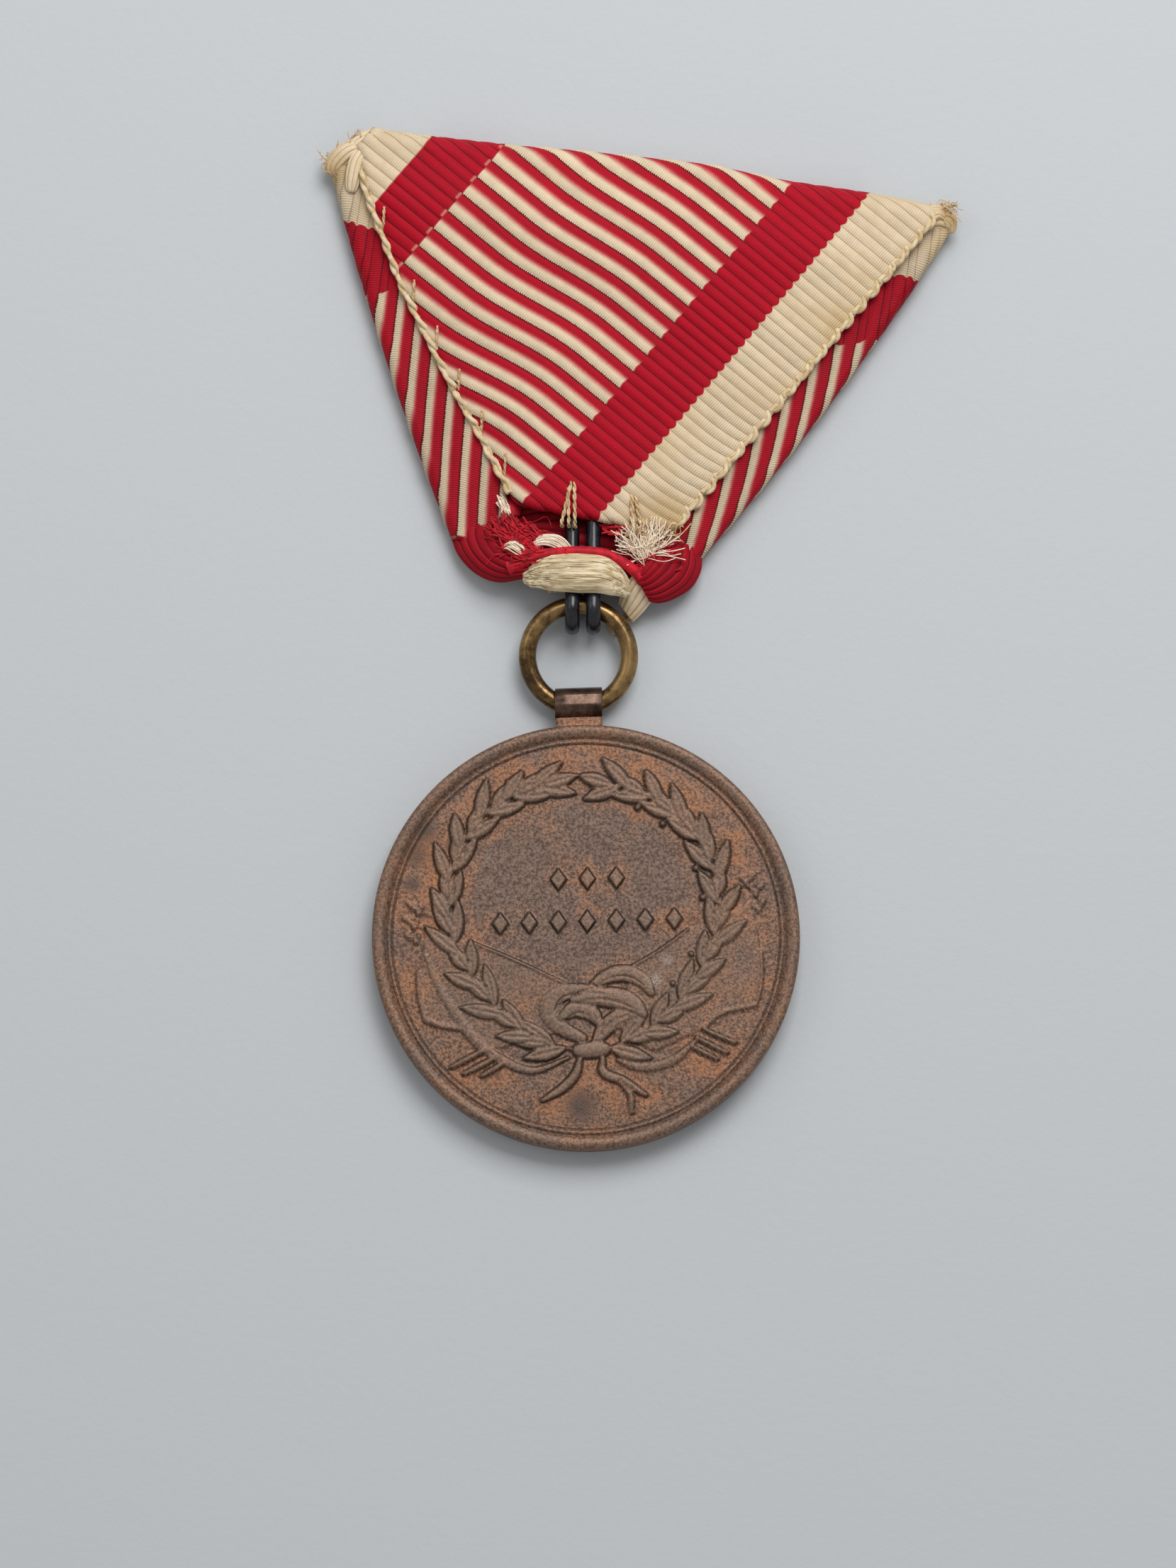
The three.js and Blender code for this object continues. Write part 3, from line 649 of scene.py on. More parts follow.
        z = z - 0.22 * RELIEF * ridge(x, y, line, 0.2, 1.0, 0.6)
    for count, row in ((3, 4.2), (7, 1.1)):
        for k in range(count):
            centre = 2.1 * (k - (count - 1) / 2)
            away = np.abs(x - centre - 0.1) / 0.72 + np.abs(y - row - 0.03 * centre) / 1.0
            z = np.maximum(z, 0.75 * RELIEF * eased(1 - away, 0, 0.35))
    return z


def disc_shape():
    """A polar grid: field radii with the relief, then the rim's turned profile down to the flat underside.

    The marks hold the relief's height, how near relief is, and how steep it is, for aged_bronze.
    """
    rim = [(13.97, 2.15), (14.04, 2.09), (14.1, 2.18), (14.18, 2.28), (14.3, 2.28), (14.38, 2.2), (14.46, 2.12),
           (14.56, 2.26), (14.68, 2.38), (14.85, 2.46), (15.05, 2.5), (15.24, 2.47), (15.39, 2.38), (15.47, 2.24),
           (15.5, 2.05), (15.49, 1.3), (15.5, 0.5), (15.46, 0.22), (15.36, 0.06), (15.2, 0.0), (14.5, 0.0),
           (14.35, 0.06), (14.2, 0.2), (14.0, 0.24), (8.0, 0.24), (0.0, 0.24)]
    field = np.linspace(0, FIELD_RADIUS, FIELD_STEPS)
    radius = np.concatenate([field, [p[0] for p in rim]])
    height = np.concatenate([np.full(len(field), FIELD_TOP), [p[1] for p in rim]])
    angle = turns(DISC_SPOKES)
    x, y = radius[:, None] * np.cos(angle), radius[:, None] * np.sin(angle)
    z = np.broadcast_to(height[:, None], x.shape).copy()
    count = len(field)
    struck = relief_height(x[:count], y[:count])
    z[:count] += struck + 0.01 * np.sin(1.3 * x[:count]) * np.cos(1.7 * y[:count])
    near = struck.copy()
    for _ in range(9):
        beside = [np.roll(near, shift, axis) for axis in (1, 0) for shift in (1, -1)]
        near = np.maximum(near, np.maximum.reduce(beside)) * 0.93
    run = np.maximum(radius[:count, None], 0.5)
    round_slope = (np.roll(struck, -1, 1) - np.roll(struck, 1, 1)) / (2 * run * TURN / DISC_SPOKES)
    slope = np.hypot(np.gradient(struck, radius[:count], axis=0), round_slope)
    mark = np.zeros((*x.shape, 3))
    # The steep foot of low relief, darkened in aged_bronze partly as patina and partly as painted shade.
    mark[:count, :, 2] = eased(slope, 0.35, 1.4) * (1 - 0.6 * eased(struck / RELIEF, 0.3, 0.9))
    mark[:count, :, 0] = struck / RELIEF
    mark[:count, :, 1] = np.clip(near / RELIEF, 0, 1)
    mark[count:, :, 0] = 0.45 * eased(height[count:], 2.2, 2.4)[:, None]
    # The rim's grooves get the same dark mark: partly patina, partly painted shade.
    mark[count:, :, 2] = 0.7 * eased(height[count:], 2.2, 2.1)[:, None] * (radius[count:] < 15)[:, None]
    return tube(np.stack([x, y, z], -1)), mark


def turned_with_medal(points):
    """The medal's own turn about its centre."""
    c, s = math.cos(MEDAL_TURN), math.sin(MEDAL_TURN)
    return points @ np.array([[c, s, 0], [-s, c, 0], [0, 0, 1]])


def neck_shape():
    """Rounded-square sections up the neck: half width flares into the rim through a small fillet."""
    y = np.concatenate([[14.45], np.linspace(14.5, 16.06, 30), [16.1]])
    half = np.where(y < 15.35, 1.72 + 1.5 * np.clip((15.35 - y) / 0.85, 0, 1) ** 2.2, 1.7)
    half[[0, -1]] = 0
    tall = np.where((y > 14.46) & (y < 16.09), 0.86 + 0.1 * eased(y, 15.6, 14.6), 0)
    a = turns(NECK_STEPS)
    x = half[:, None] * signed_power(np.cos(a), 0.28)
    z = LOOP_Z + tall[:, None] * signed_power(np.sin(a), 0.28)
    points = np.stack([x, np.broadcast_to(y[:, None], x.shape), z], -1)
    return turned_with_medal(points.reshape(-1, 3)), grid_quads(len(y), NECK_STEPS, wrap=True)


def loop_shape():
    """A strip rolled into a tube: a rounded thin section carried round, with one flat facet on its crown."""
    edge = [(-1.7, 1.09), (-1.7, 1.16), (-1.66, 1.2), (-0.8, 1.205), (0.8, 1.205), (1.66, 1.2), (1.7, 1.16),
            (1.7, 1.09), (1.55, 1.04), (-1.55, 1.04)]
    along, out = np.array(edge).T
    a = turns(LOOP_STEPS)
    crown = np.minimum(1, 0.955 / np.cos(np.clip(a - 1.42, -0.6, 0.6)))
    outer = (out > 1.1)[:, None]
    r = np.where(outer, out[:, None] * crown, out[:, None])
    x = along[:, None] * (1 + 0.02 * np.sin(a)) + 0.03 * np.cos(a)
    points = np.stack([np.broadcast_to(x, r.shape), LOOP_Y + r * np.cos(a), LOOP_Z + r * np.sin(a)], -1)
    number = both_ways(len(edge), LOOP_STEPS)
    quads = np.stack([number[:-1, :-1], number[:-1, 1:], number[1:, 1:], number[1:, :-1]], -1).reshape(-1, 4)
    return turned_with_medal(points.reshape(-1, 3)), quads


disc, disc_mark = disc_shape()
made("struck_disc", "medal", "bronze", BRONZE, disc, ["medal_disc"], disc_mark)
neck = neck_shape()
made("disc_neck", "medal", "bronze", BRONZE, neck, (), np.tile([0.1, 0.8, 0.0], (len(neck[0]), 1)))
made("rolled_strip_loop", "medal", "strip_bronze", STRIP, loop_shape(), ["suspension_loop"])


# ---- ring and hook -------------------------------------------------------------------------------

def ring_shape():
    """A torus: ring radius plus wire radius cos b, tilted about the X axis."""
    a = turns(RING_STEPS)
    b = turns(RING_SIDES)
    wire = RING_WIRE * (1 - 0.012 * np.sin(3 * a))[:, None]
    r = RING_RADIUS + wire * np.cos(b)
    x, y, z = r * np.cos(a)[:, None], r * np.sin(a)[:, None], wire * np.sin(b)
    c, s = math.cos(RING_TILT), math.sin(RING_TILT)
    points = np.stack([x + RING_X, y * c - z * s + RING_CENTRE_Y, y * s + z * c + RING_CENTRE_Z], -1)
    number = both_ways(RING_STEPS, RING_SIDES)
    quads = np.stack([number[:-1, :-1], number[1:, :-1], number[1:, 1:], number[:-1, 1:]], -1).reshape(-1, 4)
    return points.reshape(-1, 3), quads


def hook_path(x, outward):
    """One wire: its eye, the upper leg, the half turn round the ring and the end of the lower leg."""
    a = np.linspace(-2.2, 1.9, 7)[:-1]
    eye = np.stack([x + outward * 1.25 * (1 - np.sin(a)), 33.6 + 1.25 * np.cos(a), np.full(6, 2.3)], -1)
    leg = np.array([(x, 32.0, 2.3), (x, 30.0, 2.3), (x, 26.4, 2.75)])
    b = math.pi / 2 + np.linspace(0, math.pi, 7)
    bend = np.stack([np.full(7, x), 24.1 + 1.42 * np.cos(b), 1.96 + 1.42 * np.sin(b)], -1)
    return np.vstack([eye, leg, bend])


def hook_shape():
    """The doubled wire: down one side, across the tip in a half turn, and back up the other side."""
    middle, half = sum(HOOK_LEGS) / 2, (HOOK_LEGS[1] - HOOK_LEGS[0]) / 2
    a = np.linspace(math.pi, 0, 5)
    tip = np.stack([middle + half * np.cos(a), 25.4 + half * np.sin(a), np.full(5, 0.56)], -1)
    path = np.vstack([hook_path(HOOK_LEGS[0], -1), tip, hook_path(HOOK_LEGS[1], 1)[::-1]])
    bridge = [(middle, 27.3, 2.6), (middle, 25.9, 2.75), (middle, 24.9, 2.95)]
    return joined(tube(carried(spline(path, 260), HOOK_WIRE, HOOK_SIDES)),
                  tube(carried(bridge, BRIDGE_WIRE, BRIDGE_SIDES)))


made("round_ring", "ring", "ring_brass", BRASS, ring_shape(), ["suspension_ring"])
made("black_wire_hook", "ribbon", "black_wire", BLACK, hook_shape(), ["wire_hook"])


# ---- woven cloth ---------------------------------------------------------------------------------

def cord_height(across, rungs):
    """Two equal round cords a rung in the plain stripes; in the ladder one broad cord and one low one."""
    f = rungs - np.floor(rungs)
    wave = np.abs(np.sin(TURN * f)) ** 0.55
    in_ladder = eased(across, RED_END - 0.2, RED_END + 0.3) * eased(across, LADDER_END + 0.2, LADDER_END - 0.3)
    broad = np.where(f < 0.5, wave * 1.15, np.maximum(wave * 0.78, 0.7 * np.exp(-((f - 0.5) / 0.11) ** 2)))
    return CORD * mixed(wave, broad, in_ladder)


def cloth(surface, a, b, across, rungs, age_and_shade=0.0, thickness=CLOTH):
    """The surface's points moved along its normal, outward and inward, by half the cloth and its cords."""
    step = 0.02
    along_a = surface(a + step, b) - surface(a - step, b)
    normal = unit(np.cross(along_a, surface(a, b + step) - surface(a, b - step)))
    out = (thickness + cord_height(across, rungs))[..., None]
    middle = surface(a, b)
    points, quads = skins(middle + normal * out, middle - normal * (0.75 * out))
    mark = np.stack([across, rungs, np.broadcast_to(age_and_shade, across.shape)], -1).reshape(-1, 3)
    return (points, quads), np.vstack([mark, mark])


def fold_line(s):
    """Where the ribbon turns over the top, as a distance along it."""
    return table(s, [0, 4.9, 9.8, 15.5, 23, 27.85, 32.4, 36.4], [29.3, 26.6, 23.6, 20.6, 15.6, 12.2, 9.2, 6.7])


def lower_line(s):
    """The turned-in bottom and left edges, as a distance along the ribbon."""
    return table(s, [0, 0.4, 4.15, 10.1, 15.5, 19, 23, 27, 30.5, 33.5, 36.4],
                 [-1.6, -2.1, -4.3, -7.6, -5.3, -4.0, -2.25, -0.5, 1.5, 3.2, 5.7], 0.6)


CORNER_X, CORNER_Y = 7.6, 31.22
LENGTH_X, LENGTH_Y = 0.640, 0.768


def plan(s, r):
    """Distances across and along the ribbon, as a place over the table."""
    return CORNER_X + LENGTH_X * r - LENGTH_Y * s, CORNER_Y + LENGTH_Y * r + LENGTH_X * s


def across_along(x, y):
    """The place over the table as distances across and along the ribbon."""
    dx, dy = x - CORNER_X, y - CORNER_Y
    return -LENGTH_Y * dx + LENGTH_X * dy, LENGTH_X * dx + LENGTH_Y * dy


def lie(s, r):
    """How high the middle of the back panel lies: puffed over the hook, low along its right, left and top edges."""
    right = 1 - np.exp(-(s + 0.3) / 3.0)
    left = mixed(1.0, 1 - np.exp(-np.maximum(r - lower_line(s), 0) / 2.6), eased(s, 9, 14))
    top = eased(fold_line(s) - r, -0.6, 7.5)
    wave = 0.05 * np.sin(0.9 * r + 0.3 * s) + 0.04 * np.sin(0.55 * s - 0.2 * r)
    return 2.38 + (0.98 + wave) * right * left * top


def back_surface(s, r):
    """The back panel. Past the top fold it runs round a half circle; at the lower edge round a small one."""
    high, low = fold_line(s), lower_line(s)
    start = high - TOP_CURL
    arc = np.clip((r - start) / TOP_CURL, 0, math.pi)
    top_plan = np.where(r > start, start + TOP_CURL * np.sin(arc), r)
    top_drop = TOP_CURL * (1 - np.cos(arc))
    foot = low + EDGE_CURL
    under = np.clip((foot - r) / EDGE_CURL, 0, math.pi)
    further = np.maximum(foot - r - EDGE_CURL * math.pi, 0)
    flat = np.where(r < foot, foot - EDGE_CURL * np.sin(under) + further, top_plan)
    drop = np.where(r < foot, EDGE_CURL * (1 - np.cos(under)), 0)
    scallop = (0.3 + 0.22 * eased(r, 12, -2)) * (np.abs(np.sin(math.pi * r / RUNG)) - 0.6) * np.exp(-s / 0.7)
    x, y = plan(s - scallop, flat)
    return np.stack([x, y, lie(s, flat) - drop - top_drop], -1)


def rung_count(s, r):
    """Rungs along the back panel: a little wider apart and set back across the ladder."""
    spacing = RUNG + 0.08 * eased(s, 13, 26)
    drift = 0.55 * np.clip(1 - s / 3.6, 0, 1) ** 2 * eased(r, 12, 2)
    return (r + 0.95 * eased(s, 13.5, 23) - drift - 10.0) / spacing


def back_panel_shape():
    """Rows of constant distance along the ribbon, held between the two folds, so that cords follow the rows."""
    s = np.concatenate([np.linspace(0, 1.2, 9), np.linspace(1.2, 36.2, 98)[1:]])
    r = np.arange(-9.6, 32.6, 0.098)
    s_grid, r_grid = np.meshgrid(s, r, indexing="ij")
    high = fold_line(s)[:, None] - TOP_CURL + math.pi * TOP_CURL
    low = lower_line(s)[:, None] + EDGE_CURL - EDGE_CURL * math.pi - 0.9 * eased(s, 0.2, 2.0)[:, None]
    r_grid = np.clip(r_grid, low, high)
    age_and_shade = 0.35 + 0.5 * np.exp(-s_grid / 1.2)
    shape, mark = cloth(back_surface, s_grid, r_grid, s_grid, rung_count(s_grid, r_grid), age_and_shade)
    area = ((high - low)[1:, 0] + (high - low)[:-1, 0]) @ np.diff(s) / 2
    return shape, mark, area


def edge_line(start, end, bow):
    """A straight edge, bowed sideways most at its middle."""
    (x0, y0), (x1, y1) = start, end
    length = math.hypot(x1 - x0, y1 - y0)

    def at(v):
        out = bow * 4 * v * (1 - v)
        return mixed(x0, x1, v) - out * (y1 - y0) / length, mixed(y0, y1, v) + out * (x1 - x0) / length
    return at


outer_left = edge_line((-9.6, 29.3), (-18.7, 57.1), 0.5)
outer_right = edge_line((7.9, 27.6), (26.9, 52.6), -0.7)
CURL_ARC = OUTER_CURL * math.pi / 2
LEFT_REACH, RIGHT_REACH = 4.6, 5.0
FRONT_Z = 0.44


def front_surface(a, v):
    """The worn side and both flaps as one cloth. a runs 0-1 over the left flap and its fold, 1-2 over the front,
    2-3 over the right fold and flap. A fold is a half circle between the front and the flap above it."""
    (xl, yl), (xr, yr) = outer_left(v), outer_right(v)
    from_left = (a - 1) * (CURL_ARC * 2 + LEFT_REACH) + CURL_ARC
    from_right = (2 - a) * (CURL_ARC * 2 + RIGHT_REACH) + CURL_ARC
    q = np.where(a < 1.5, from_left, from_right)
    q = np.where((a > 1) & (a < 2), CURL_ARC, q)
    turn = np.clip(q / OUTER_CURL, -math.pi / 2, math.pi / 2)
    inset = OUTER_CURL * (1 - np.cos(turn)) + np.maximum(-q - CURL_ARC, 0)
    rise = 0.5 * eased(-q - CURL_ARC, 0, 4.5) * (1 - 0.4 * v)
    z = FRONT_Z + OUTER_CURL * (1 - np.sin(turn)) + rise
    side = np.clip(a - 1, 0, 1)
    left_x, left_y = xl + inset, yl - 0.1 * inset
    right_x, right_y = xr - inset, yr - 0.05 * inset
    crest = 1.9 * np.sqrt(4 * side * (1 - side) + 1e-6) * (1 - 0.5 * side) * eased(v, 0.7, 1.0)
    x = mixed(left_x, right_x, side)
    y = mixed(left_y, right_y, side) + crest
    sag = 0.05 * np.sin(3 * math.pi * side) ** 2
    return np.stack([x, y, z - np.where((a > 1) & (a < 2), sag, 0)], -1)


def front_shape():
    """Columns close together across the rungs, rows further apart along them."""
    left = np.linspace(0, 1, 44)
    front = np.linspace(1, 2, 210)[1:]
    right = np.linspace(2, 3, 46)[1:]
    a, v = np.meshgrid(np.concatenate([left, front, right]), np.linspace(0.0, 1.0, 84), indexing="ij")
    from_left = np.maximum((1 - a) * (CURL_ARC * 2 + LEFT_REACH) - CURL_ARC * 2, -CURL_ARC * 2) + CURL_ARC
    from_right = np.maximum((a - 2) * (CURL_ARC * 2 + RIGHT_REACH) - CURL_ARC * 2, -CURL_ARC * 2) + CURL_ARC
    side = np.clip(a - 1, 0, 1)
    rungs = -8.2 * v + (13.6 + 17.4 * v) * side
    rungs = np.where(a < 1, -8.2 * v + 0.684 * from_left + 0.62, rungs)
    set_back = 0.35 * (1 - np.exp(-np.maximum(from_right, 0) / 0.9))
    rungs = np.where(a > 2, 13.6 + 9.2 * v - 0.6 * from_right - set_back - 0.5, rungs)
    rungs = rungs + 0.07 * (1 - np.cos(TURN * rungs))
    across = mixed(0.7 + 27.2 * (1 - v), 0.9 + 26.9 * (1 - v), side) + 0.25 * np.sin(1.7 * rungs)
    # Painted shade: this value, above IN_SHADE, darkens the front and both flaps as if they lay in shadow, the top rows
    # a little more; it also blotches them with age.
    age_and_shade = 1.6 + 0.1 * eased(v, 0.93, 1)
    shape, mark = cloth(front_surface, a, v, across, rungs, age_and_shade)
    outline = front_surface(a, v)
    edge_a, edge_v = np.diff(outline, axis=0)[:, :-1], np.diff(outline, axis=1)[:-1]
    area = np.linalg.norm(np.cross(edge_a, edge_v), axis=-1).sum()
    return shape, mark, area


RED_PLACE, CREAM_PLACE = 7.3, 2.6


def gathered(name, slot, replaced, outer, inner, height, cords, steps, place=RED_PLACE, age_and_shade=1.8):
    """A drawn-together bundle: closed sections between an outer and an inner line, height above their middle,
    with cords running along it. place is where across the ribbon its colour comes from."""
    o, i = spline(outer, steps), spline(inner, steps)
    h = spline(np.column_stack([height, height, height]), steps)[:, 0]
    a = turns(cords * CORD_SIDES)
    rungs = a / TURN * cords / 2
    cord = 0.75 * CORD * (np.abs(np.sin(TURN * rungs)) ** 0.55 - 0.5)
    c, s = np.cos(a), signed_power(np.sin(a), 0.8)
    middle, half = (o + i) / 2, (o - i) / 2
    wide = np.linalg.norm(half, axis=1)[:, None]
    points = (middle[:, None] + half[:, None] * (c * (1 + cord / np.maximum(wide, 0.4)))[..., None])
    points[..., 2] += (h[:, None] + cord) * s
    points = drawn_in(points)
    mark = np.zeros(points.shape)
    mark[..., 0] = place
    mark[..., 1] = rungs
    # Painted shade: the default value of 1.8 darkens a gather's cloth as if it lay in shadow; the cream tuck's lower
    # value only ages it.
    mark[..., 2] = age_and_shade
    return made(name, "ribbon", slot, RIBBON, tube(points), replaced, mark)


back_shape, back_mark, back_area = back_panel_shape()
back = made("ribbon_back_cloth", "ribbon", "striped_ribbon", RIBBON, back_shape, ["ribbon_back_panel"], back_mark)
front_form, front_mark, front_area = front_shape()
front = made("ribbon_front_and_flaps", "ribbon", "striped_ribbon", RIBBON, front_form,
             ["ribbon_front_panel", "ribbon_left_flap", "ribbon_right_flap"], front_mark)

left_gather = gathered(
    "left_gathered_cloth", "red_ribbon", ["ribbon_left_gather"],
    [(-9.8, 30.2, 1.0), (-9.75, 29.2, 1.0), (-9.2, 27.95, 1.05), (-8.0, 26.75, 1.2), (-6.5, 26.15, 1.5),
     (-5.0, 26.3, 2.1), (-3.8, 26.7, 2.8)],
    [(-5.7, 30.6, 1.9), (-5.7, 29.9, 2.2), (-5.5, 29.2, 2.5), (-5.2, 28.7, 2.7), (-4.8, 28.35, 2.9),
     (-4.3, 28.1, 3.0), (-3.7, 27.9, 3.1)],
    [0.5, 0.7, 0.95, 1.1, 1.05, 0.85, 0.5], 18, 60)
right_gather = gathered(
    "right_gathered_cloth", "red_ribbon", ["ribbon_right_gather"],
    [(8.4, 28.8, 1.1), (8.45, 27.9, 1.05), (8.35, 26.9, 1.1), (7.7, 25.75, 1.2), (6.5, 24.95, 1.5),
     (5.4, 24.6, 1.8), (4.6, 24.7, 2.1)],
    [(5.2, 29.0, 2.2), (5.0, 28.5, 2.5), (4.8, 28.1, 2.7), (4.5, 27.6, 2.9), (4.2, 27.1, 3.0),
     (3.9, 26.7, 3.0), (3.6, 26.4, 2.9)],
    [0.55, 0.8, 1.0, 1.1, 1.0, 0.8, 0.5], 18, 60)
centre_gather = gathered(
    "centre_gathered_cloth", "red_ribbon", (),
    [(-7.0, 28.2, 1.1), (-3.5, 26.8, 1.2), (0.0, 26.2, 1.4), (3.5, 26.0, 1.2), (7.0, 27.2, 1.1)],
    [(-7.0, 30.8, 1.3), (-3.5, 32.2, 1.3), (0.0, 32.4, 1.2), (3.5, 31.6, 1.3), (7.0, 29.8, 1.3)],
    [0.3, 0.4, 0.35, 0.4, 0.3], 22, 40)
tuck = gathered(
    "cream_end_tuck", "cream_ribbon", ["ribbon_end_tuck"],
    [(5.1, 25.2, 1.9), (4.75, 24.7, 1.7), (4.2, 24.0, 1.3), (3.4, 23.2, 0.8)],
    [(3.5, 26.6, 2.7), (3.0, 26.0, 2.4), (2.6, 25.2, 1.9), (2.4, 24.5, 1.3)],
    [0.4, 0.42, 0.4, 0.3], 12, 30, CREAM_PLACE, 0.6)


def corner_roll(points, radius, cords):
    """A fold of the corner: a plump closed roll with cords along it."""
    path = spline(points, 36)
    t = np.linspace(0, 1, 36)
    full = radius * (0.35 + 0.65 * plump(t))
    a = turns(cords * CORD_SIDES)
    rings = carried(path, full, len(a), (0, 0, 1), 0.9)
    middle = rings.mean(1, keepdims=True)
    swell = 1 + 0.16 * (np.abs(np.sin(a * cords / 2)) ** 0.6 - 0.6)
    rings = middle + (rings - middle) * swell[:, None]
    mark = np.zeros(rings.shape)
    mark[..., 0] = 1.2
    mark[..., 1] = a / TURN * cords / 2
    mark[..., 2] = 1.0
    return tube(rings), mark


def corner(name, rolls, node):
    """Several rolls as one piece of cloth."""
    shapes, marks = zip(*[corner_roll(*roll) for roll in rolls])
    marks = np.vstack([mark.reshape(-1, 3) for mark in marks])
    return made(name, "ribbon", "cream_ribbon", RIBBON, joined(*shapes), [node], marks)


left_corner = corner("left_corner_fold", [
    ([(-18.75, 56.4, 1.1), (-18.5, 57.2, 1.4), (-17.6, 58.1, 1.7), (-16.6, 58.5, 1.8)], 0.75, 10),
    ([(-17.6, 57.6, 1.6), (-16.8, 58.6, 1.8), (-15.6, 59.2, 1.8), (-14.8, 59.1, 1.5)], 0.62, 9),
    ([(-17.3, 55.0, 1.9), (-17.1, 56.3, 2.1), (-16.8, 57.4, 2.1), (-16.2, 58.3, 1.9)], 0.62, 8),
    ([(-16.6, 56.4, 1.5), (-16.4, 57.4, 1.6), (-16.0, 58.4, 1.5)], 0.7, 8)], "ribbon_left_corner")
right_corner = corner("right_corner_fold", [
    ([(25.2, 53.7, 1.9), (26.1, 53.55, 1.8), (26.8, 52.95, 1.5), (26.9, 52.0, 1.2)], 0.52, 9),
    ([(25.3, 53.0, 2.1), (25.9, 53.3, 2.1), (26.5, 53.0, 1.8)], 0.42, 8),
    ([(25.0, 52.6, 1.5), (25.8, 52.9, 1.6), (26.5, 52.8, 1.5), (26.9, 52.4, 1.1)], 0.68, 8)], "ribbon_right_corner")


# ---- yarn and sewing -----------------------------------------------------------------------------

def plied(path, radius, pitch, plies=2, sides=8):
    """A twisted thread: plies wound round the path, each half as thick, one turn every pitch."""
    path = np.asarray(path, float)
    along = unit(np.gradient(path, axis=0))
    side = unit(np.cross(along, (1, 1, 1)))
    rise = np.cross(side, along)
    run = np.concatenate([[0], np.cumsum(np.linalg.norm(np.diff(path, axis=0), axis=1))])
    lines = []
    for k in range(plies):
        turn = TURN * (run / pitch + k / plies)
        lines.append(path + 0.5 * radius * (side * np.cos(turn)[:, None] + rise * np.sin(turn)[:, None]))
    return bundle(np.array(lines), 0.58 * radius, sides)


def tangle(count, steps, starts, ends, sway, radius, sides=5):
    """Loose strands from near one place to near another, each with its own smooth sway."""
    t = np.linspace(0, 1, steps)[None, :, None]
    line = mixed(starts[:, None], ends[:, None], t)
    for wave in (1, 2, 3):
        line = line + np.sin(math.pi * wave * t) * RNG.normal(0, sway / wave, (count, 1, 3))
    line[..., 2] = np.maximum(line[..., 2], 0.1)
    return bundle(line, radius * RNG.uniform(0.7, 1.3, (count, 1)), sides)


def scattered(count, centre, spread):
    """Places round a centre, normally spread on each axis."""
    return np.asarray(centre, float) + RNG.normal(0, 1, (count, 3)) * np.asarray(spread, float)


def wisps(count, steps, start, start_spread, end, end_spread, sway, radius):
    """A tangle between two scattered groups of places."""
    starts, ends = scattered(count, start, start_spread), scattered(count, end, end_spread)
    return tangle(count, steps, starts, ends, sway, radius)


def yarn(name, slot, material, *parts, replaced=()):
    """Strands and lumps as one piece on the ribbon."""
    return made(name, "ribbon", slot, material, joined(*parts), replaced)


def bunch_section(t, a, lift=0.0):
    """The selvedge bunch: a plump bundle over the hook's legs, swept round its ridge by angle a."""
    ridge_line = spline([(-4.6, 26.5, 3.0), (-3.5, 26.75, 3.5), (-2.2, 26.75, 3.85), (-0.6, 26.7, 4.0),
                         (1.1, 26.6, 3.9), (2.3, 26.2, 3.55), (3.2, 25.6, 2.9)], 200)
    half = np.interp(t, [0, 0.1, 0.3, 0.5, 0.75, 0.92, 1], [0.35, 0.95, 1.3, 1.38, 1.3, 0.9, 0.5])
    p = ridge_line[np.clip((t * 199).astype(int), 0, 199)]
    rise = 0.45 * half * signed_power(np.sin(a), 0.8)
    y = p[..., 1] + (half + lift) * np.cos(a)
    z = p[..., 2] - 0.15 + rise + lift * np.sin(a)
    return np.stack([np.broadcast_to(p[..., 0], y.shape), y, z], -1)


def bunch_shape():
    """The bundle itself with fine grooves, and loose strands lying along its top."""
    t, a = np.meshgrid(np.linspace(0, 1, 70), turns(120), indexing="ij")
    groove = 0.045 * np.sin(26 * a + 2.5 * np.sin(3 * t * math.pi) * 0.3) + 0.03 * np.sin(47 * a + 4 * t)
    body = drawn_in(bunch_section(t, a, groove))
    count, steps = 150, 22
    start = RNG.uniform(0.0, 0.55, (count, 1))
    length = RNG.uniform(0.35, 0.9, (count, 1))
    along = np.clip(start + length * np.linspace(0, 1, steps), 0.0, 1.0)
    angle = RNG.uniform(0.0, math.pi, (count, 1))
    angle = angle + RNG.normal(0, 0.12, (count, 1)) * np.sin(np.linspace(0, 3, steps))
    strands = bunch_section(along, angle, 0.05)
    strands[..., 0] += np.linspace(0, 1e-3, steps)
    return joined(tube(body), bundle(strands, 0.05, 5))


yarn("selvedge_bunch_yarn", "cream_ribbon", BUNCH_YARN, bunch_shape(), replaced=["ribbon_selvedge_bunch"])

band_path = spline([(-5.6, 27.2, 2.8), (-4.6, 27.5, 3.2), (-3.6, 27.95, 3.55), (-2.2, 28.2, 3.75),
                    (-0.5, 28.3, 3.85), (1.2, 28.15, 3.75), (2.5, 27.6, 3.5), (3.5, 26.9, 3.2),
                    (4.2, 26.2, 2.8)], 90)
band_t = np.linspace(0, 1, 90)
band_size = 0.34 + 0.3 * np.exp(-band_t / 0.12) + 0.2 * np.exp(-(1 - band_t) / 0.12)
yarn("red_band_over_bunch", "red_ribbon", RED_YARN,
     tube(carried(band_path, band_size, 16, (0, 0, 1))),
     wisps(40, 16, (-4.4, 27.6, 3.4), (0.5, 0.25, 0.2), (-1.4, 28.2, 4.0), (1.0, 0.12, 0.1), 0.08, 0.05))

FRINGE, TAIL = 90, 50


def fringe_line(low, high, y, y_spread, z):
    """Places in a row for the ends of the fringe."""
    x = RNG.uniform(low, high, FRINGE)
    return np.column_stack([x, RNG.normal(y, y_spread, FRINGE), RNG.normal(z, 0.1, FRINGE)])


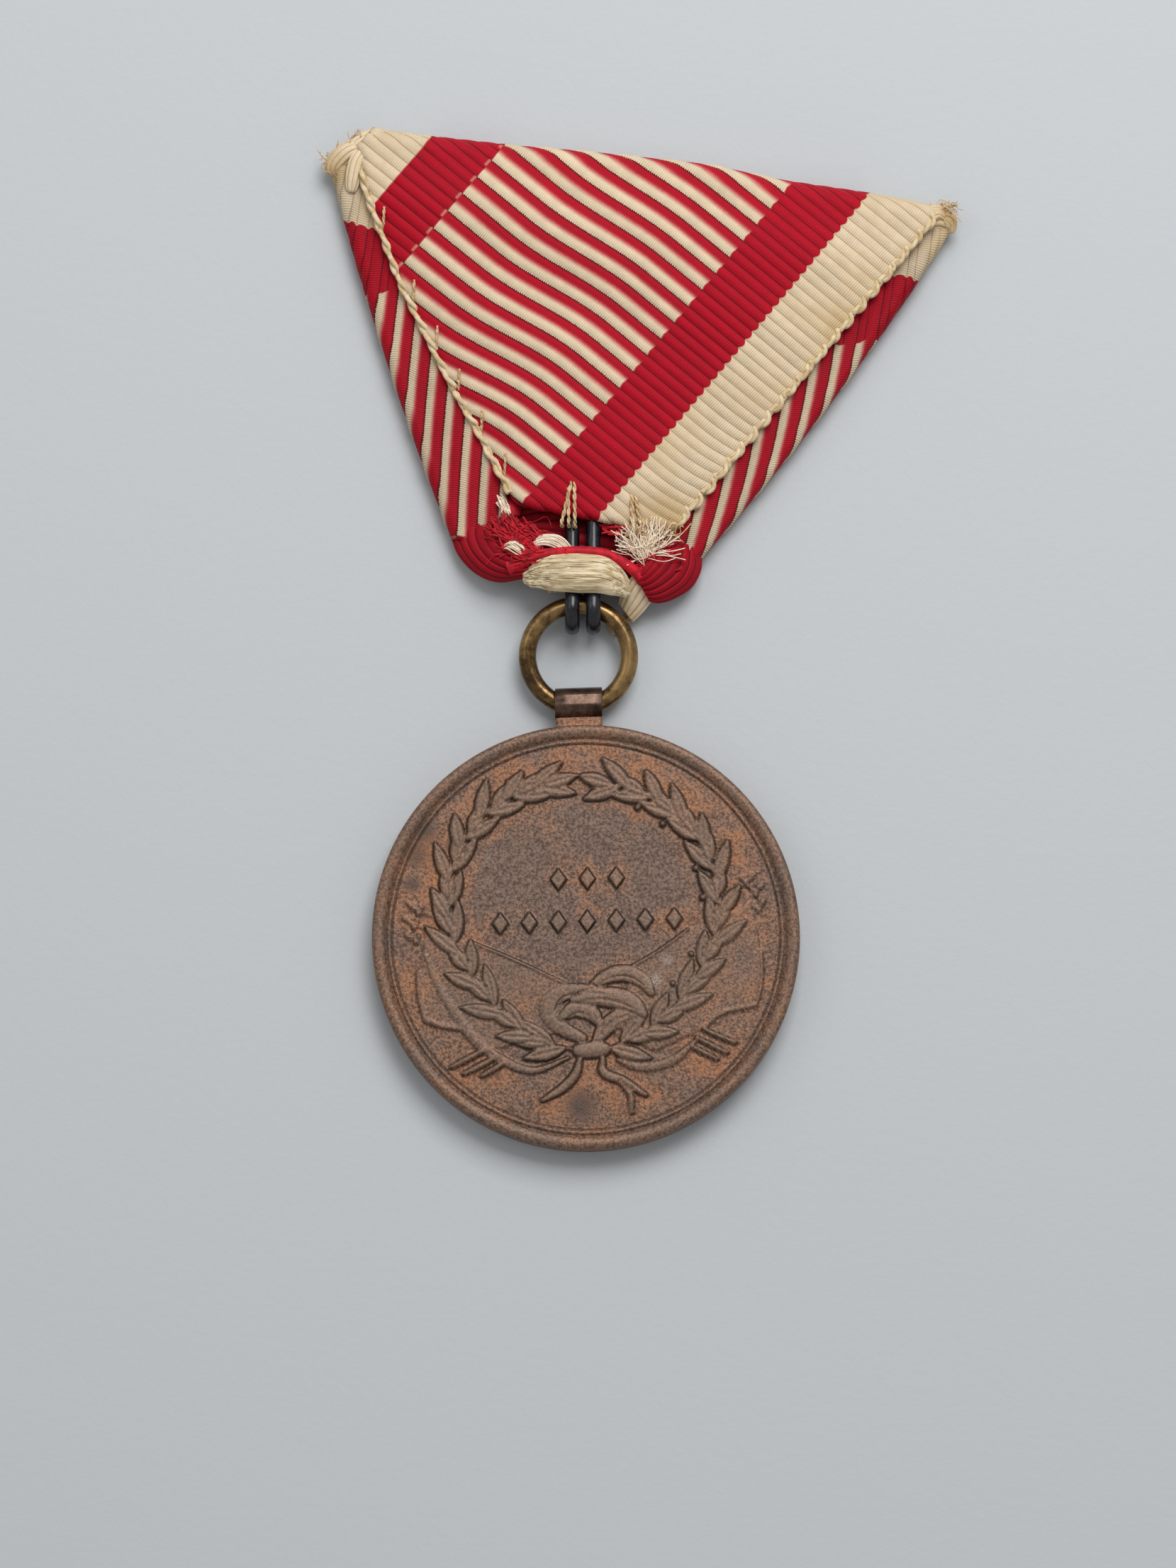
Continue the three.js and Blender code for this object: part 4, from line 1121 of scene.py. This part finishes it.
yarn("bunch_lower_fray", "cream_ribbon", BEIGE_THREAD,
     tangle(FRINGE, 10, fringe_line(-3.2, 2.9, 25.7, 0.06, 3.3), fringe_line(-2.9, 2.9, 25.4, 0.05, 3.05),
            0.04, 0.035),
     wisps(TAIL, 10, (3.0, 23.5, 0.28), (0.2, 0.15, 0.05), (2.1, 22.5, 0.14), (0.3, 0.25, 0.03), 0.03, 0.045))


def lump(points, radius):
    """A plump closed core under loose strands."""
    path = spline(points, 24)
    t = np.linspace(0, 1, 24)
    full = radius * (0.4 + 0.6 * plump(t))
    return tube(carried(path, full, 18, (0, 0, 1), 0.7))


# Left fray: a felted red mass with two loops of cream warp
yarn("left_frayed_red_yarn", "red_ribbon", RED_YARN,
     lump([(-6.3, 30.6, 2.0), (-5.6, 29.8, 2.4), (-5.0, 28.9, 2.7), (-4.2, 28.2, 2.9), (-3.4, 27.9, 3.0)], 0.85),
     lump([(-5.4, 30.2, 2.2), (-4.4, 29.6, 2.4), (-3.4, 29.0, 2.4), (-2.4, 28.6, 2.4)], 0.6),
     wisps(260, 14, (-6.0, 30.2, 2.7), (0.6, 0.5, 0.25), (-4.2, 28.2, 3.3), (0.6, 0.3, 0.2), 0.14, 0.06),
     wisps(120, 14, (-5.0, 29.9, 2.9), (0.5, 0.3, 0.2), (-2.7, 28.8, 2.9), (0.5, 0.3, 0.2), 0.12, 0.05),
     wisps(90, 14, (-5.6, 28.4, 3.2), (0.5, 0.3, 0.2), (-3.2, 27.9, 3.6), (0.4, 0.15, 0.15), 0.1, 0.06),
     lump([(-5.9, 32.3, 1.7), (-5.5, 31.5, 2.0), (-5.3, 30.8, 2.1)], 0.7),
     wisps(40, 14, (-5.2, 29.4, 3.0), (0.8, 0.7, 0.2), (-4.2, 29.2, 3.2), (1.2, 0.9, 0.3), 0.3, 0.03),
     replaced=["frayed_yarn_left"])


def crescent(points, width, count, radius=0.06):
    """A lock of strands that fans out in its middle and meets at its ends."""
    path = spline(points, 22)
    t = np.linspace(0, 1, 22)
    fan = plump(t)[None, :, None]
    x, y, z = RNG.normal(0, 0.25, count), RNG.uniform(-0.5, 0.5, count), RNG.uniform(-0.3, 0.3, count)
    offset = np.column_stack([x, y, z]) * width
    return bundle(path[None] + offset[:, None] * fan, radius, 5)


yarn("cream_warp_locks", "cream_ribbon", CREAM_YARN,
     wisps(34, 12, (-6.2, 32.1, 2.75), (0.15, 0.2, 0.1), (-5.7, 31.0, 2.75), (0.2, 0.15, 0.1), 0.08, 0.05),
     crescent([(-5.9, 28.5, 3.2), (-5.4, 28.75, 3.65), (-4.8, 28.4, 3.6), (-4.4, 28.0, 3.4)], 0.6, 34, 0.05),
     crescent([(-4.0, 28.5, 3.0), (-3.3, 29.1, 3.5), (-2.3, 29.05, 3.7), (-1.5, 28.5, 3.6), (-1.2, 28.0, 3.4)],
              0.8, 60, 0.05))

FAN = 170
fan_turn = RNG.normal(1.5, 0.7, FAN)
fan_reach = RNG.uniform(0.8, 3.2, FAN)
fan_ends = np.column_stack([4.3 + fan_reach * np.cos(fan_turn), 27.9 + fan_reach * np.sin(fan_turn),
                            3.1 + RNG.uniform(-0.3, 0.8, FAN)])
yarn("right_frayed_cream_yarn", "cream_ribbon", CREAM_YARN,
     tangle(FAN, 14, scattered(FAN, (4.3, 27.9, 3.1), (0.3, 0.25, 0.15)), fan_ends, 0.16, 0.034),
     wisps(90, 14, (3.0, 28.9, 2.6), (0.5, 0.3, 0.2), (4.3, 29.1, 2.8), (0.8, 0.4, 0.3), 0.2, 0.035),
     replaced=["frayed_yarn_right"])
yarn("right_frayed_red_yarn", "red_ribbon", RED_YARN,
     lump([(2.6, 28.6, 1.9), (3.6, 28.3, 2.2), (4.8, 28.0, 2.4), (5.8, 28.2, 2.3)], 0.75),
     wisps(70, 12, (4.0, 27.2, 2.9), (0.5, 0.4, 0.2), (5.8, 28.2, 2.8), (0.7, 0.5, 0.25), 0.2, 0.06),
     wisps(50, 12, (1.8, 30.2, 2.6), (0.5, 0.3, 0.2), (4.8, 29.9, 2.4), (0.7, 0.4, 0.2), 0.15, 0.08))


def over_edge(top, bottom, lift, drop):
    """A stitch: over the cloth from its top place, round the panel's edge, and down to drop."""
    x = np.linspace(top[0], bottom[0], 7)
    y = np.linspace(top[1], bottom[1], 7)
    s, r = across_along(x, y)
    r = np.maximum(r, lower_line(s) + EDGE_CURL)
    z = lie(s, r) + CLOTH + CORD + lift
    z[0] -= 0.25
    path = np.column_stack([x, y, z])
    tail = [(bottom[0], bottom[1] - 0.3, path[-1, 2] - 0.35), (bottom[0] + 0.05, bottom[1] - 0.35, drop)]
    return spline(np.vstack([path, tail]), 40)


yarn("left_lash_thread", "sewing_thread", BEIGE_THREAD,
     plied(over_edge((-1.05, 33.4), (-1.75, 30.5), 0.06, 2.4), 0.14, 1.3),
     plied(over_edge((-0.85, 33.35), (-0.8, 30.45), 0.06, 2.4), 0.14, 1.3),
     plied(over_edge((-1.3, 32.9), (-1.25, 30.45), 0.1, 2.4), 0.13, 1.3),
     replaced=["lash_left"])
yarn("right_lash_thread", "sewing_thread", BEIGE_THREAD,
     plied(over_edge((3.35, 32.4), (3.4, 30.2), 0.03, 2.4), 0.16, 1.3),
     plied(over_edge((3.6, 32.3), (4.0, 30.2), 0.03, 2.4), 0.16, 1.3),
     wisps(30, 10, (3.6, 30.1, 3.4), (0.3, 0.15, 0.2), (3.7, 29.3, 3.0), (0.5, 0.3, 0.3), 0.15, 0.05),
     replaced=["lash_right"])

seam_s = np.linspace(10.8, 34.5, 260)
seam_wave = TURN * seam_s / 1.7
seam_path = back_surface(seam_s, lower_line(seam_s) + EDGE_CURL * 0.4)
seam_path[:, 2] += 0.1 + 0.14 * np.sin(seam_wave)
seam_path[:, 0] -= 0.16 + 0.12 * np.sin(seam_wave + 1)
edge_seam = yarn("edge_whipping", "sewing_thread", BEIGE_THREAD, plied(seam_path, 0.13, 1.6),
                 replaced=["edge_seam"])
hem_path = back_surface(seam_s, lower_line(seam_s) + EDGE_CURL * 0.2)
hem_beat = np.abs(np.sin(math.pi * seam_s / 1.45))
hem_path[:, 0] -= 0.1 + 0.14 * hem_beat
hem_path[:, 2] += 0.14 * hem_beat + 0.1
turned_edge = yarn("turned_in_selvedge", "cream_ribbon", EDGE_YARN, plied(hem_path, 0.33, 3.4))


def edge_stitch(s):
    """A small upright stitch that ends on the turned-in edge."""
    k = np.linspace(0, 1, 14)
    p = back_surface(s + 1.1 * (1 - k), lower_line(s) + mixed(1.45, 0.0, k))
    p[:, 2] += CLOTH + CORD + 0.03 - 0.4 * k ** 4
    return plied(p, 0.11, 1.0)


stitches = yarn("edge_stitches", "sewing_thread", BEIGE_THREAD,
                *[edge_stitch(s) for s in (12.0, 15.4, 18.6, 21.9, 25.4, 30.6)],
                replaced=[f"edge_stitch_{i}" for i in range(1, 7)])

selvedge_r = np.linspace(-1.8, 28.6, 520)
beat = np.abs(np.sin(math.pi * selvedge_r / RUNG))
selvedge_path = back_surface(np.full(520, 0.12), selvedge_r)
selvedge_path[:, 2] += 0.04 + 0.12 * beat
selvedge = yarn("right_selvedge_thread", "cream_ribbon", EDGE_YARN, plied(selvedge_path, 0.31, RUNG))

yarn("corner_loose_fibres", "cream_ribbon", BEIGE_THREAD,
     wisps(60, 9, (-18.5, 57.0, 1.4), (0.3, 0.4, 0.3), (-18.6, 57.5, 1.5), (0.5, 0.5, 0.4), 0.1, 0.03),
     wisps(50, 9, (-16.9, 58.6, 1.9), (0.5, 0.3, 0.2), (-16.4, 59.3, 1.9), (0.7, 0.3, 0.3), 0.1, 0.03),
     wisps(50, 9, (26.4, 53.7, 1.9), (0.4, 0.3, 0.2), (26.8, 53.7, 1.8), (0.5, 0.5, 0.4), 0.1, 0.03),
     wisps(40, 10, (5.9, 30.2, 2.9), (0.5, 0.3, 0.2), (5.9, 29.5, 2.7), (0.7, 0.4, 0.3), 0.15, 0.035))


# ---- floor, light and camera ---------------------------------------------------------------------

def floor_material():
    r = Recipe("pale_card")
    r.bump(r.noise(1500, 3, 0.6), 0.05, 0.5)
    return r.finish(Base_Color=colour(189, 193, 196), Roughness=0.6, Specular_IOR_Level=0.25)


def soft_light(name, place, target, size, power, tint=(1, 1, 1)):
    lamp = bpy.data.lights.new(name, "AREA")
    lamp.size, lamp.energy, lamp.color = size, power, tint
    holder = bpy.data.objects.new(name, lamp)
    from_target = np.array(place, float) - np.array(target, float)
    holder.location = place
    holder.rotation_euler = Vector(from_target.tolist()).to_track_quat("Z", "Y").to_euler()
    bpy.context.collection.objects.link(holder)


FLOOR_SIDE = 0.9
FLOOR_Z = -0.00002
floor_mesh = bpy.data.meshes.new("floor")
floor_corners = [(x * FLOOR_SIDE, y * FLOOR_SIDE, FLOOR_Z) for x, y in ((-1, -1), (1, -1), (1, 1), (-1, 1))]
floor_mesh.from_pydata(floor_corners, [], [(0, 1, 2, 3)])
floor_mesh.materials.append(floor_material())
floor = bpy.data.objects.new("floor", floor_mesh)
bpy.context.collection.objects.link(floor)

middle_point = (0.0, 0.011, 0.0)
soft_light("overhead_softbox", (0.085, 0.25, 0.35), middle_point, 0.25, 1.42)
soft_light("left_fill", (-0.30, 0.16, 0.34), middle_point, 0.24, 0.16)

world = bpy.data.worlds.new("studio")
world.use_nodes = True
world.node_tree.nodes["Background"].inputs["Color"].default_value = (1.0, 1.0, 1.0, 1)
world.node_tree.nodes["Background"].inputs["Strength"].default_value = 0.42
bpy.context.scene.world = world
bpy.context.scene.view_settings.view_transform = "Standard"

CAMERA_HEIGHT = 0.45
CAMERA_TILT = math.radians(8.0)
aim = Vector((0.00015, 0.0113, 0.001))
back_off = Vector((0, -math.sin(CAMERA_TILT), math.cos(CAMERA_TILT)))
camera_data = bpy.data.cameras.new("camera")
camera_data.sensor_width = 36
FRAME_HEIGHT = 0.1142
camera_data.lens = 18 / (FRAME_HEIGHT / 2 / CAMERA_HEIGHT)
camera = bpy.data.objects.new("camera", camera_data)
camera.location = aim + back_off * CAMERA_HEIGHT
camera.rotation_euler = back_off.to_track_quat("Z", "Y").to_euler()
bpy.context.collection.objects.link(camera)
bpy.context.scene.camera = camera
